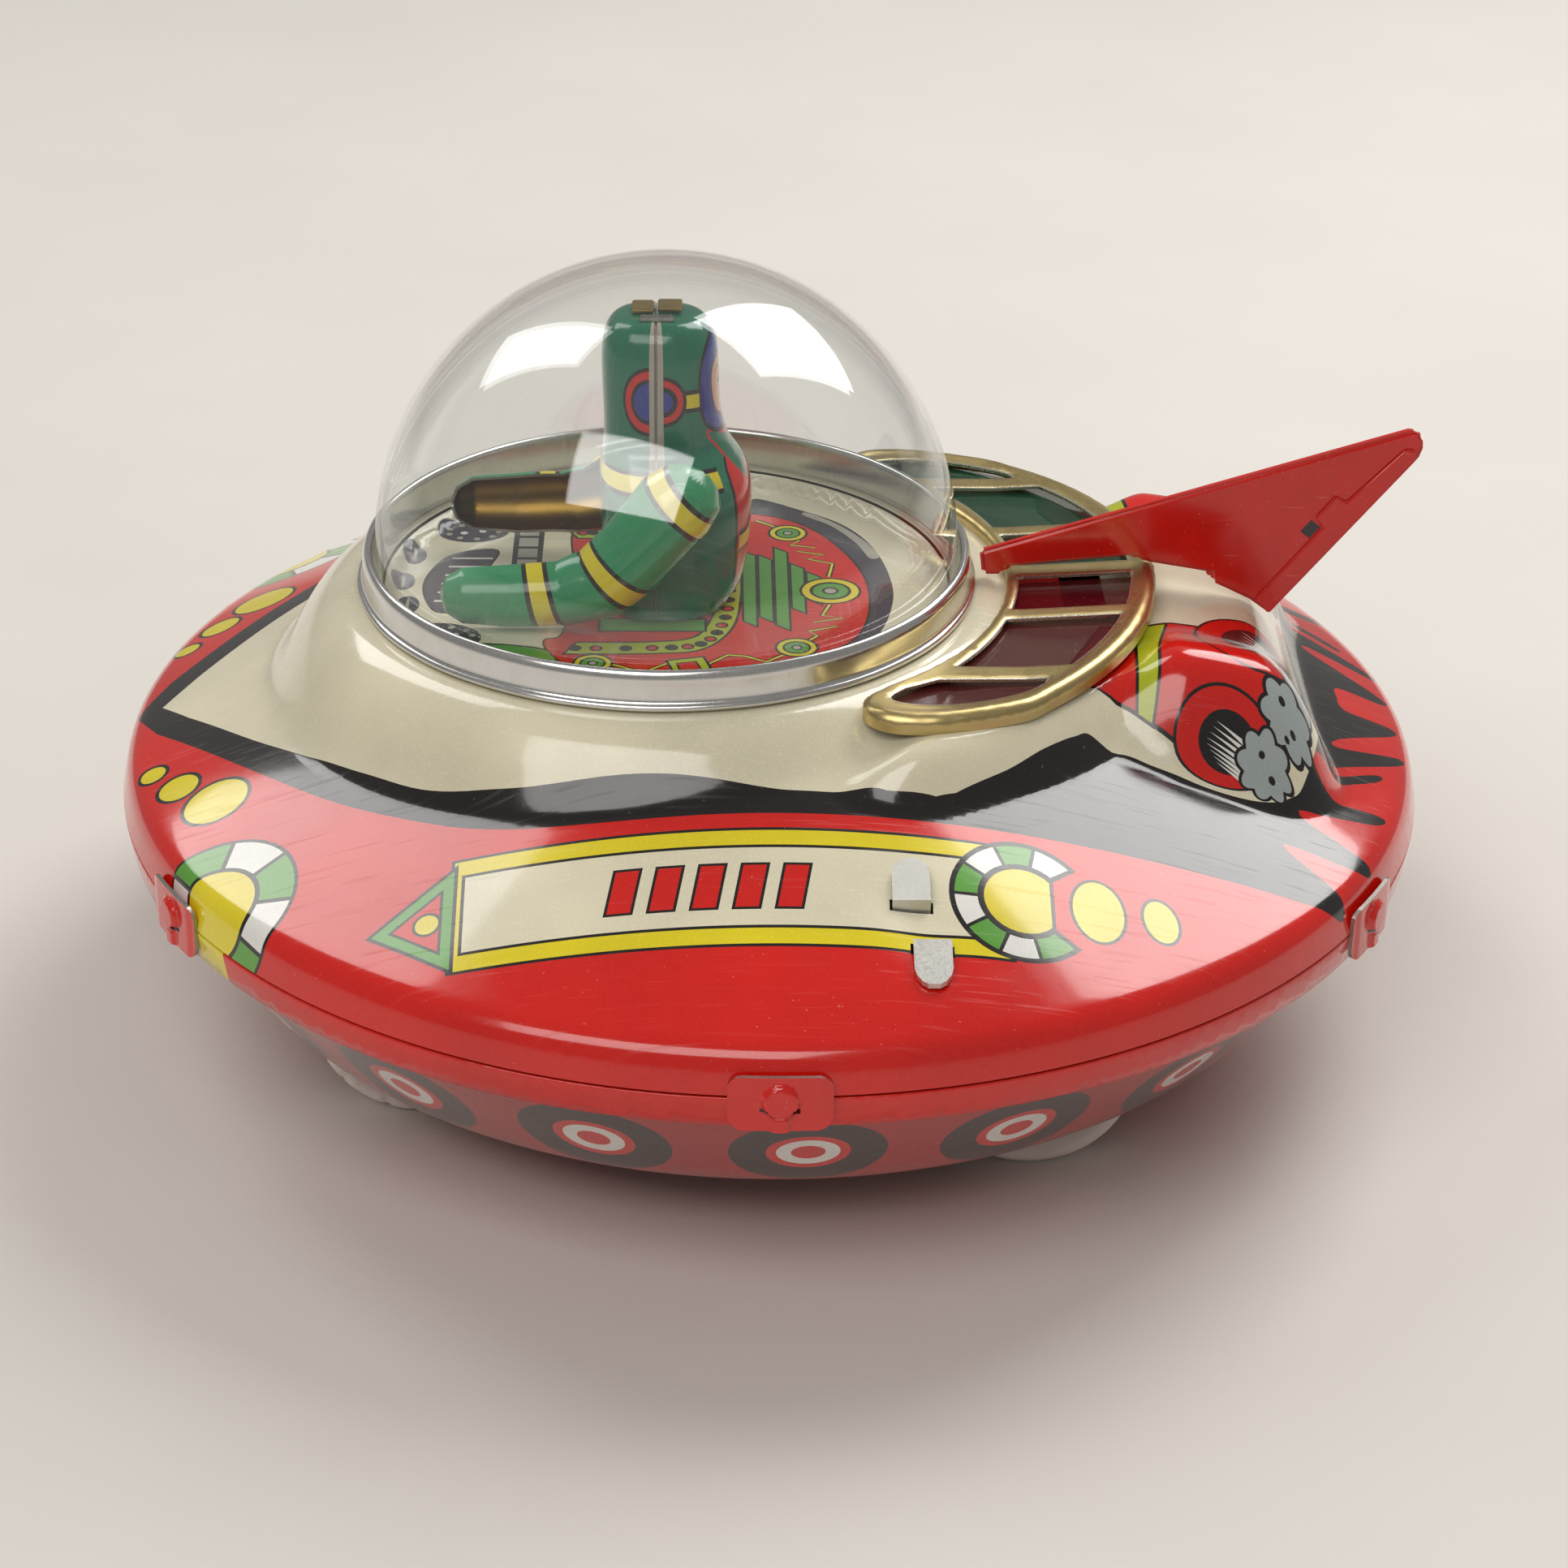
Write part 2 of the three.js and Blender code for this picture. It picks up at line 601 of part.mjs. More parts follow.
function tailFin() {
  const side = outline(FIN.map(([x, z]) => [x, z + SEAM_Z]));
  const hem = outline([[61, 23.1], [63.5, 20.8], [80.8, 42.4], [78.6, 43.8]].map(
    ([x, z]) => [x, z + SEAM_Z]));
  return unite(plateXZ(side, -0.9, 0.9), plateXZ(hem, -1.3, 1.3));
}

add('tail_fin', tailFin(), redTin);

// ---------------------------------------------------------------- shell brackets

// A strap from the motor plate to two uprights, whose tabs pass through the shell and fold over.
function shellBracket(side) {
  const strapZ = SEAM_Z + 0.6;
  const foldGap = 0.35;
  const parts = SHELL_SLITS.map(({ x, y, tab }) => {
    const tabEnd = y + tab * TAB_REACH;
    const top = (at) => discHeight(Math.hypot(x, at)) + foldGap;
    const inner = y - (TAB_THICK / 2) * tab;
    const outer = y + (TAB_THICK / 2) * tab;
    const upright = outline([
      [inner, strapZ], [outer, strapZ], [outer, top(outer)], [tabEnd, top(tabEnd)],
      [tabEnd, top(tabEnd) + TIN], [inner, top(inner) + TIN]].map(([u, v]) => [side * u, v]));
    const half = TAB_WIDTH / 2;
    // each pair is the inset from the tab's edge and the distance back from its end
    const corner = [[0, 2.1], [0.25, 1.2], [0.8, 0.45], [1.5, 0], [1.5, -1], [-1, -1], [-1, 2.1]];
    const corners = [-1, 1].map((edge) => plateXY(outline(corner.map(([inset, back]) => [
      x + edge * (half - inset), side * (tabEnd - tab * back)])), SEAM_Z, SHELF_Z));
    return subtract(plateYZ(upright, x - half, x + half), ...corners);
  });
  const start = PLATE_Y + 1.3;
  const end = SHELL_SLITS[1].y + TAB_THICK / 2;
  const footZ = strapZ - 8;
  const strap = outline([
    [start, footZ], [start + TIN, footZ], [start + TIN, strapZ], [end, strapZ],
    [end, strapZ + TIN], [start, strapZ + TIN]].map(([u, v]) => [side * u, v]));
  const edges = [SHELL_SLITS[0].x - TAB_WIDTH / 2, SHELL_SLITS[1].x + TAB_WIDTH / 2];
  return unite(plateYZ(strap, ...edges), ...parts);
}

add('shell_bracket_near', shellBracket(-1), bareTin);
add('shell_bracket_far', shellBracket(1), bareTin);

// ---------------------------------------------------------------- wheels and axles

const AXLE_R = 1.3;

function wheel({ x, z, track, wheelR }, side) {
  const half = WHEEL_WIDTH / 2;
  const profile = [
    [1.6, -2], [2.6, -2], [2.6, 0.3], [wheelR - 3.9, 0.3], [wheelR - 1.8, 1.5],
    [wheelR - 0.65, 1.5], [wheelR - 0.65, -half], [wheelR, -half], [wheelR, 1.7],
    [wheelR - 0.9, half], [wheelR - 1.9, 2.2], [wheelR - 3.7, 1], [1.6, 1], [1.6, -2]];
  return turnY(profile.map(([r, y]) => [r, side * (track + y)]), 24, x, z);
}

function axle({ x, z, track }) {
  const reach = track + WHEEL_WIDTH / 2 + 0.3;
  return shaft(x, z, AXLE_R, -reach, reach);
}

function frontAxleBracket() {
  const { x, z } = FRONT_AXLE;
  const earY = 20;
  const low = BOWL_BOTTOM_Z + 2.2;
  const channel = outline([
    [-earY, low], [earY, low], [earY, z + 3.5], [earY - 0.8, z + 3.5], [earY - 0.8, low + 0.8],
    [-earY + 0.8, low + 0.8], [-earY + 0.8, z + 3.5], [-earY, z + 3.5]]);
  const bore = plateXZ(outline(circlePoints(x, z, AXLE_R + 0.3, 12)), -30, 30);
  return subtract(plateYZ(channel, x - 5, x + 5), bore);
}

add('front_axle_bracket', frontAxleBracket(), bareTin);
add('front_axle', axle(FRONT_AXLE), steel);
add('front_wheel_near', wheel(FRONT_AXLE, -1), whiteTin);
add('front_wheel_far', wheel(FRONT_AXLE, 1), whiteTin);
add('rear_axle', axle(REAR_AXLE), steel);
add('rear_wheel_near', wheel(REAR_AXLE, -1), whiteTin);
add('rear_wheel_far', wheel(REAR_AXLE, 1), whiteTin);

// ---------------------------------------------------------------- gear train

const TEETH = {
  great: 40, secondPinion: 10, second: 32, axlePinion: 12, thirdPinion: 10, third: 28,
  sparkPinion: 10 };

function centreDistance(teethA, teethB) {
  return (MODULE * (teethA + teethB)) / 2;
}

function offset(from, distance, degrees) {
  const angle = (degrees * Math.PI) / 180;
  return { x: from.x + distance * Math.cos(angle), z: from.z + distance * Math.sin(angle) };
}

const SECOND = offset(REAR_AXLE, centreDistance(TEETH.axlePinion, TEETH.second), 144.25);
const ARBOR = KEY_AXIS;
const THIRD = offset(SECOND, centreDistance(TEETH.second, TEETH.thirdPinion), 68);
const SPARK = offset(THIRD, centreDistance(TEETH.third, TEETH.sparkPinion), 44.4);

// Half the angle that a tooth fills at a radius, for 20 degree involute flanks with some backlash.
function toothHalfAngle(teeth, radius) {
  const pitchR = (MODULE * teeth) / 2;
  const pressure = Math.PI / 9;
  const baseR = pitchR * Math.cos(pressure);
  const involute = (angle) => Math.tan(angle) - angle;
  const at = Math.acos(Math.min(1, baseR / Math.max(radius, baseR)));
  const backlash = 0.2;
  const atPitch = Math.PI / (2 * teeth) - backlash / (2 * pitchR);
  return atPitch + involute(pressure) - involute(at);
}

function gear(centre, teeth, phase, boreR, y0, y1) {
  const pitchR = (MODULE * teeth) / 2;
  const tipR = pitchR + 0.8 * MODULE;
  const rootR = pitchR - 1.05 * MODULE;
  const points = [];
  const rising = teeth < 20 ? [rootR, pitchR, tipR] : [rootR, tipR];
  for (let i = 0; i < teeth; i += 1) {
    const middle = phase + (i / teeth) * 2 * Math.PI;
    for (const [sign, radii] of [[-1, rising], [1, rising.slice().reverse()]]) {
      for (const radius of radii) {
        const angle = middle + sign * toothHalfAngle(teeth, radius);
        points.push([centre.x + radius * Math.cos(angle), centre.z + radius * Math.sin(angle)]);
      }
    }
  }
  const shape = outline(points);
  shape.holes.push(hole(centre.x, centre.z, boreR));
  return plateXZ(shape, y0, y1);
}

// The phase that puts a tooth gap of the follower on a tooth of the gear that it meshes with.
function meshingPhase(from, fromTeeth, fromPhase, to, toTeeth) {
  const direction = Math.atan2(to.z - from.z, to.x - from.x);
  const fraction = ((direction - fromPhase) * fromTeeth) / (2 * Math.PI);
  return direction + Math.PI + ((fraction + 0.5) * 2 * Math.PI) / toTeeth;
}

const SHAFT_R = 1;
const ARBOR_R = 1.5;
const BORE_CLEARANCE = 0.12;

const axlePhase = 0;
const secondPhase = meshingPhase(
  REAR_AXLE, TEETH.axlePinion, axlePhase, SECOND, TEETH.second);
const thirdPinionPhase = meshingPhase(
  SECOND, TEETH.second, secondPhase, THIRD, TEETH.thirdPinion);
const greatPhase = meshingPhase(SECOND, TEETH.secondPinion, 0, ARBOR, TEETH.great);
const sparkPinionPhase = meshingPhase(THIRD, TEETH.third, 0, SPARK, TEETH.sparkPinion);

add('rear_axle_pinion', gear(
  REAR_AXLE, TEETH.axlePinion, axlePhase, AXLE_R + BORE_CLEARANCE, 5.8, 8), brass);
add('second_wheel', gear(
  SECOND, TEETH.second, secondPhase, SHAFT_R + BORE_CLEARANCE, 6.4, 7.4), brass);
add('second_pinion', gear(
  SECOND, TEETH.secondPinion, 0, SHAFT_R + BORE_CLEARANCE, -9.2, -6.8), steel);
add('third_pinion', gear(
  THIRD, TEETH.thirdPinion, thirdPinionPhase, SHAFT_R + BORE_CLEARANCE, 5.8, 8), steel);
add('third_wheel', gear(THIRD, TEETH.third, 0, SHAFT_R + BORE_CLEARANCE, -4.2, -3.2), brass);
add('spark_pinion', gear(
  SPARK, TEETH.sparkPinion, sparkPinionPhase, SHAFT_R + BORE_CLEARANCE, -4.8, -2.6), steel);
add('great_wheel', gear(ARBOR, TEETH.great, greatPhase, ARBOR_R + GAP, -8.6, -7.4), brass);

const SHAFT_END = PLATE_Y + 1.4;
add('second_shaft', shaft(SECOND.x, SECOND.z, SHAFT_R, -SHAFT_END, SHAFT_END), steel);
add('third_shaft', shaft(THIRD.x, THIRD.z, SHAFT_R, -SHAFT_END, SHAFT_END), steel);
add('spark_shaft', shaft(SPARK.x, SPARK.z, SHAFT_R, -SHAFT_END, SHAFT_END), steel);

// ---------------------------------------------------------------- spark wheel and flint

const SPARK_WHEEL_R = 7.5;

function sparkWheel() {
  const teeth = 24;
  const rim = circlePoints(SPARK.x, SPARK.z, 1, teeth * 2).map(([u, v], i) => {
    const radius = i % 2 ? SPARK_WHEEL_R : SPARK_WHEEL_R - 0.4;
    return [SPARK.x + (u - SPARK.x) * radius, SPARK.z + (v - SPARK.z) * radius];
  });
  const shape = outline(rim);
  shape.holes.push(hole(SPARK.x, SPARK.z, SHAFT_R + BORE_CLEARANCE));
  return plateXZ(shape, -1.5, 1.5);
}

function flintHolder() {
  const top = SPARK.z + SPARK_WHEEL_R + 3;
  const strip = outline([
    [-2.4, top - TIN], [PLATE_Y - 0.9, top - TIN], [PLATE_Y - 0.9, SPARK.z + 2.6],
    [PLATE_Y - GAP, SPARK.z + 2.6], [PLATE_Y - GAP, top], [-2.4, top]]);
  return plateYZ(strip, SPARK.x - 3, SPARK.x + 3);
}

add('spark_wheel', sparkWheel(), flintGrey);
add('flint', box(
  [SPARK.x - 1.3, -1.2, SPARK.z + SPARK_WHEEL_R + GAP],
  [SPARK.x + 1.3, 1.2, SPARK.z + SPARK_WHEEL_R + 2.1]), flintGrey);
add('flint_holder', flintHolder(), redTin);

// ---------------------------------------------------------------- mainspring, arbor and key

const KEY_OUTER_Y = 86.2;
const ARBOR_END_Y = 75;

function mainspring() {
  const turns = 5.5;
  const stepsPerTurn = 12;
  const innerR = 2.4;
  const outerR = 12.4;
  const strip = 0.45;
  const steps = turns * stepsPerTurn;
  const side = (shift) => Array.from({ length: steps + 1 }, (_, i) => {
    const angle = (i / stepsPerTurn) * 2 * Math.PI;
    const radius = innerR + ((outerR - innerR) * i) / steps + shift;
    return [ARBOR.x + radius * Math.cos(angle), ARBOR.z + radius * Math.sin(angle)];
  });
  return plateXZ(outline([...side(0), ...side(strip).reverse()]), -5.4, 4.6);
}

function ratchetWheel() {
  const teeth = 12;
  const points = [];
  for (let i = 0; i < teeth; i += 1) {
    for (const [radius, part] of [[4, 0], [5.2, 0.001], [4.6, 0.5]]) {
      const angle = ((i + part) / teeth) * 2 * Math.PI;
      points.push([ARBOR.x + radius * Math.cos(angle), ARBOR.z + radius * Math.sin(angle)]);
    }
  }
  const shape = outline(points);
  shape.holes.push(hole(ARBOR.x, ARBOR.z, ARBOR_R + BORE_CLEARANCE));
  return plateXZ(shape, -7.1, -5.9);
}

function click() {
  const pawl = [[4.54, -0.35], [5.5, -0.37], [7.4, -5.5], [5.9, -6.8]];
  return plateXZ(outline(pawl.map(([u, v]) => [ARBOR.x + u, ARBOR.z + v])), -7.1, -5.9);
}

function windingKey() {
  const sleeveR = 2.7;
  const wingLow = 80;
  const wing = new THREE.Shape();
  wing.moveTo(-2, wingLow);
  wing.quadraticCurveTo(-8.4, wingLow - 0.4, -8.4, 83.2);
  wing.quadraticCurveTo(-8.4, KEY_OUTER_Y, -5, KEY_OUTER_Y);
  wing.quadraticCurveTo(-2.4, KEY_OUTER_Y, 0, 84.4);
  wing.quadraticCurveTo(2.4, KEY_OUTER_Y, 5, KEY_OUTER_Y);
  wing.quadraticCurveTo(8.4, KEY_OUTER_Y, 8.4, 83.2);
  wing.quadraticCurveTo(8.4, wingLow - 0.4, 2, wingLow);
  const wings = new THREE.ExtrudeGeometry(wing, { depth: 1.4, bevelEnabled: false, curveSegments: 4 })
    .translate(ARBOR.x, 0, ARBOR.z - 0.7);
  const sleeve = plateXZ(outline(circlePoints(ARBOR.x, ARBOR.z, sleeveR, 16)), 71.5, 81.5);
  const bore = plateXZ(outline(circlePoints(ARBOR.x, ARBOR.z, ARBOR_R + GAP, 12)), 70, ARBOR_END_Y + 1);
  return subtract(unite(sleeve, wings), bore);
}

add('mainspring', mainspring(), steel);
add('key_arbor', shaft(ARBOR.x, ARBOR.z, ARBOR_R, -SHAFT_END, ARBOR_END_Y), steel);
add('ratchet_wheel', ratchetWheel(), steel);
add('click', click(), steel);
add('winding_key', windingKey(), bareTin);

// ---------------------------------------------------------------- motor frame

const MOTOR_PLATE_TIN = 0.9;
const MOTOR_PLATE = [
  [-15, 3.6], [40, 3.6], [42, 10], [42, 34], [38, 38], [40.5, 43], [40.5, 49.5], [28, 50],
  [20, 42], [12, 39], [-9, 36], [-15, 32]];
const PILLARS = [[-11.8, 7.4], [-12, 29], [37.6, 6.6], [38.8, 30.5], [11.5, 35.6]];
const PILLAR_R = 1.5;
const PILLAR_GAP = 0.05;

function motorPlate(side) {
  const shape = outline(MOTOR_PLATE);
  const bores = [[SECOND, SHAFT_R], [THIRD, SHAFT_R], [SPARK, SHAFT_R], [ARBOR, ARBOR_R],
    [REAR_AXLE, AXLE_R]];
  for (const [{ x, z }, radius] of bores) {
    shape.holes.push(hole(x, z, radius + 0.25));
  }
  const inner = side * PLATE_Y;
  const outer = side * (PLATE_Y + MOTOR_PLATE_TIN);
  return plateXZ(shape, Math.min(inner, outer), Math.max(inner, outer));
}

add('motor_plate_near', motorPlate(-1), steel);
add('motor_plate_far', motorPlate(1), steel);
PILLARS.forEach(([x, z], i) => {
  const reach = PLATE_Y - PILLAR_GAP;
  add(`motor_pillar_${i + 1}`, shaft(x, z, PILLAR_R, -reach, reach, 10), steel);
});

export default group;
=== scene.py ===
"""Looks of the wind-up tin flying saucer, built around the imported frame.

Lengths are millimetres until a mesh is made. As in the frame, +X points to the tail fin,
-Y to the side with the red windows, and +Z up.
"""
import math

import bmesh
import bpy
import numpy as np
from mathutils import Matrix, Vector, kdtree
from mathutils.geometry import delaunay_2d_cdt


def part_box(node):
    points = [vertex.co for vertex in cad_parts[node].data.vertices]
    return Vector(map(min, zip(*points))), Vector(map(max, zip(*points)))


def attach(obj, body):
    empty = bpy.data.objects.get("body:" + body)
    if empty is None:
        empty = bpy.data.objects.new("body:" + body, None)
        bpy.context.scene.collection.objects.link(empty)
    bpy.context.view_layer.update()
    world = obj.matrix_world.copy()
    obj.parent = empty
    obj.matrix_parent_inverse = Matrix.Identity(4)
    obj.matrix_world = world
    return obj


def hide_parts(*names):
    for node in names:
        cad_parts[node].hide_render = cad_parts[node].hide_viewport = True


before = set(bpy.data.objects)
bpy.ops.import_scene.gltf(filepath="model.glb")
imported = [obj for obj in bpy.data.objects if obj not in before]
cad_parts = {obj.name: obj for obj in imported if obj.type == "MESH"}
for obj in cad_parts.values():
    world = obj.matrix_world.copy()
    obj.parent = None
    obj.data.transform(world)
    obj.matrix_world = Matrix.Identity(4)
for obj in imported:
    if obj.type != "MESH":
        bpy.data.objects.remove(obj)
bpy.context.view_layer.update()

MM = 0.001


def corners(node):
    low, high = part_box(node)
    return Vector(low) / MM, Vector(high) / MM


# ---- sizes from the frame

SHELL_LOW, SHELL_HIGH = corners("upper_shell")
RING_LOW, RING_HIGH = corners("dome_ring")
DOME_LOW, DOME_HIGH = corners("dome")
FLOOR_LOW, FLOOR_HIGH = corners("cockpit_floor")

SEAM_R = SHELL_HIGH.x             # outer radius of the joint between the shells
SEAM_Z = SHELL_LOW.z - 0.15       # height of that joint
DOME_X = (RING_LOW.x + RING_HIGH.x) / 2
RING_R = (RING_HIGH.x - RING_LOW.x) / 2
RING_Z = RING_LOW.z
SHELF_Z = RING_Z - 0.3            # flat that the ring stands on
DOME_R = (DOME_HIGH.x - DOME_LOW.x) / 2
DOME_Z = DOME_HIGH.z - DOME_R     # centre of the dome's sphere
FLOOR_Z = FLOOR_LOW.z + 0.6       # printed face of the cockpit floor
FLOOR_R = (FLOOR_HIGH.x - FLOOR_LOW.x) / 2

CANOPY_X = 2.0                    # centre of the canopy's round rear edge
CANOPY_R = 46.5
PLATEAU = 23.9                    # flat top of the shell above the joint
BEND_R = 80.0                     # where the top turns down into the skirt
BEND_RISE = 5.75                  # height of that bend above the joint
HOLE_R = 36.0                     # opening under the dome
POD_CREST = 23.5                  # distance of a rocket pod's crest from the middle
SHELL_TIN = 0.5                   # sheet of the shells and clips
THIN_TIN = 0.35                   # sheet of the pilot and the canopy
AXLE_SETS = {"front_wheel_near": "front_axle_set", "front_wheel_far": "front_axle_set",
             "rear_wheel_near": "rear_axle_set", "rear_wheel_far": "rear_axle_set"}

# ---- node materials


def linear(code):
    """The linear colour of a hexadecimal sRGB code."""
    channels = [int(code[i:i + 2], 16) / 255 for i in (0, 2, 4)]
    return [c / 12.92 if c <= 0.04045 else ((c + 0.055) / 1.055) ** 2.4 for c in channels]


class Finish:
    """A node material with the few building blocks that the finishes here share."""

    def __init__(self, name, roughness=0.3, metallic=0.0):
        self.material = bpy.data.materials.new(name)
        self.material.use_nodes = True
        self.nodes = self.material.node_tree.nodes
        self.links = self.material.node_tree.links
        self.shader = self.nodes["Principled BSDF"]
        self.shader.inputs["Roughness"].default_value = roughness
        self.shader.inputs["Metallic"].default_value = metallic
        self.place = self.nodes.new("ShaderNodeTexCoord").outputs["Object"]

    def set(self, **values):
        for name, value in values.items():
            self.shader.inputs[name.replace("_", " ")].default_value = value

    def noise(self, size_mm, detail=3.0, stretch=(1, 1, 1), turn=(0, 0, 0)):
        """Noise whose features measure about size_mm, drawn out along the stretched axes."""
        mapping = self.nodes.new("ShaderNodeMapping")
        mapping.inputs["Scale"].default_value = [1 / s for s in stretch]
        mapping.inputs["Rotation"].default_value = turn
        texture = self.nodes.new("ShaderNodeTexNoise")
        texture.inputs["Scale"].default_value = 1 / (size_mm * MM)
        texture.inputs["Detail"].default_value = detail
        self.links.new(self.place, mapping.inputs["Vector"])
        self.links.new(mapping.outputs["Vector"], texture.inputs["Vector"])
        return texture.outputs["Fac"]

    def remap(self, value, from_low, from_high, to_low=0.0, to_high=1.0):
        node = self.nodes.new("ShaderNodeMapRange")
        node.clamp = True
        for socket, number in zip(node.inputs[1:5], (from_low, from_high, to_low, to_high)):
            socket.default_value = number
        self.links.new(value, node.inputs["Value"])
        return node.outputs["Result"]

    def largest(self, a, b):
        node = self.nodes.new("ShaderNodeMath")
        node.operation = "MAXIMUM"
        self.links.new(a, node.inputs[0])
        self.links.new(b, node.inputs[1])
        return node.outputs["Value"]

    def blend(self, factor, first, second):
        node = self.nodes.new("ShaderNodeMix")
        node.data_type = "RGBA"
        self.links.new(factor, node.inputs["Factor"])
        sockets = [s for s in node.inputs if s.type == "RGBA"]
        for socket, colour in zip(sockets, (first, second)):
            if isinstance(colour, (list, tuple)):
                socket.default_value = [*colour, 1]
            else:
                self.links.new(colour, socket)
        return [s for s in node.outputs if s.type == "RGBA"][0]

    def colour(self, value):
        self.links.new(value, self.shader.inputs["Base Color"])

    def roughness(self, value):
        self.links.new(value, self.shader.inputs["Roughness"])

    def bump(self, height, depth_mm, strength=1.0):
        node = self.nodes.new("ShaderNodeBump")
        node.inputs["Distance"].default_value = depth_mm * MM
        node.inputs["Strength"].default_value = strength
        self.links.new(height, node.inputs["Height"])
        previous = self.shader.inputs["Normal"]
        if previous.is_linked:
            self.links.new(previous.links[0].from_socket, node.inputs["Normal"])
        self.links.new(node.outputs["Normal"], self.shader.inputs["Normal"])

    def scratches(self, turns=(0.3, 1.4, 2.5), low=0.66, high=0.72):
        """Fine straight marks in a few directions, 1 on a mark and 0 elsewhere."""
        marks = None
        for number, turn in enumerate(turns):
            fine = self.noise(0.35 + 0.1 * number, 1, stretch=(26, 1, 26), turn=(0, 0, turn))
            mark = self.remap(fine, low, high)
            marks = mark if marks is None else self.largest(marks, mark)
        return marks


def printed_tin(name, code, roughness):
    """Lithographed tinplate: flat ink, clear varnish with an orange-peel skin, small scuffs."""
    finish = Finish(name)
    ink = linear(code)
    darker = [0.82 * c for c in ink]
    lighter = [min(1, c * 1.12 + 0.012) for c in ink]
    tone = finish.blend(finish.remap(finish.noise(22), 0.35, 0.7), darker, ink)
    grain = finish.blend(finish.remap(finish.noise(0.3), 0.5, 0.8, 0, 0.5), tone, lighter)
    specks = finish.remap(finish.noise(0.55, 1), 0.76, 0.8, 0, 0.35)
    finish.colour(finish.blend(specks, grain, [min(1, 0.3 + c) for c in ink]))
    marks = finish.scratches()
    finish.roughness(finish.largest(
        finish.remap(marks, 0, 1, roughness, 0.3),
        finish.remap(finish.noise(6), 0.3, 0.75, roughness * 0.75, roughness * 1.5)))
    finish.bump(finish.noise(0.8, 2), 0.012, 0.5)
    finish.set(Coat_Weight=0.55, Coat_Roughness=0.06)
    return finish.material


def metal(name, code, roughness, brushed=(1, 1, 1), tarnish="6b5f4d", amount=0.3):
    """Bare or lacquered metal, faintly brushed, with tarnished patches."""
    finish = Finish(name, roughness, 1.0)
    base = linear(code)
    patches = finish.remap(finish.noise(5, 4), 0.45, 0.8, 0, amount)
    lines = finish.noise(0.25, 3, stretch=brushed)
    shade = finish.blend(finish.remap(lines, 0.25, 0.75), [0.9 * c for c in base], base)
    finish.colour(finish.blend(patches, shade, linear(tarnish)))
    finish.roughness(finish.remap(lines, 0.3, 0.7, roughness * 0.85, roughness * 1.2))
    finish.bump(lines, 0.002, 0.35)
    return finish.material


def enamel(name, code, roughness, worn="8d8a84", wear=0.25):
    """Painted pressed tin, rubbed through in small patches."""
    finish = Finish(name, roughness)
    paint = linear(code)
    tone = finish.blend(finish.remap(finish.noise(9), 0.3, 0.7), [0.85 * c for c in paint], paint)
    rubbed = finish.remap(finish.noise(0.5, 3), 0.68, 0.74, 0, wear)
    scraped = finish.noise(0.4, 2, stretch=(16, 16, 1), turn=(0, 0.85, 0))
    scrapes = finish.remap(scraped, 0.7, 0.74, 0, wear)
    finish.colour(finish.blend(finish.largest(rubbed, scrapes), tone, linear(worn)))
    finish.roughness(finish.remap(rubbed, 0, wear, roughness, 0.45))
    finish.bump(finish.noise(0.7, 2), 0.015, 0.5)
    finish.set(Coat_Weight=0.35, Coat_Roughness=0.1)
    return finish.material


def clear_sheet(name):
    """Thin clear plastic: mostly see-through, mirror-like at a glance, with rubbed haze."""
    haze, full_glance, scratch = 0.07, 0.75, 0.12
    finish = Finish(name, 0.04)
    finish.set(Base_Color=[0.95, 0.96, 0.97, 1], Specular_IOR_Level=0.6, Metallic=1.0)
    see = finish.nodes.new("ShaderNodeBsdfTransparent")
    see.inputs["Color"].default_value = [0.985, 0.99, 0.99, 1]
    weight = finish.nodes.new("ShaderNodeLayerWeight")
    weight.inputs["Blend"].default_value = 0.5
    edge = finish.nodes.new("ShaderNodeMath")
    edge.operation = "POWER"
    edge.inputs[1].default_value = 4.5
    finish.links.new(weight.outputs["Facing"], edge.inputs[0])
    marks = finish.scratches((0.2, 0.9, 1.7, 2.6), 0.69, 0.74)
    cover = finish.largest(
        finish.remap(edge.outputs["Value"], 0, 1, haze, full_glance),
        finish.remap(marks, 0, 1, 0, scratch))
    mix = finish.nodes.new("ShaderNodeMixShader")
    finish.links.new(cover, mix.inputs["Fac"])
    finish.links.new(see.outputs["BSDF"], mix.inputs[1])
    finish.links.new(finish.shader.outputs["BSDF"], mix.inputs[2])
    output = finish.nodes["Material Output"]
    finish.links.new(mix.outputs["Shader"], output.inputs["Surface"])
    finish.bump(finish.noise(14, 1), 0.05, 0.3)
    return finish.material


def film(name, code, alpha):
    """Coloured window film with dust on it."""
    finish = Finish(name, 0.1)
    body = linear(code)
    dust = finish.remap(finish.noise(0.5, 2), 0.68, 0.76, 0, 0.5)
    finish.colour(finish.blend(dust, body, [0.45, 0.38, 0.36]))
    finish.set(Alpha=alpha, Specular_IOR_Level=0.6)
    finish.bump(finish.noise(7, 1), 0.2, 0.4)
    return finish.material


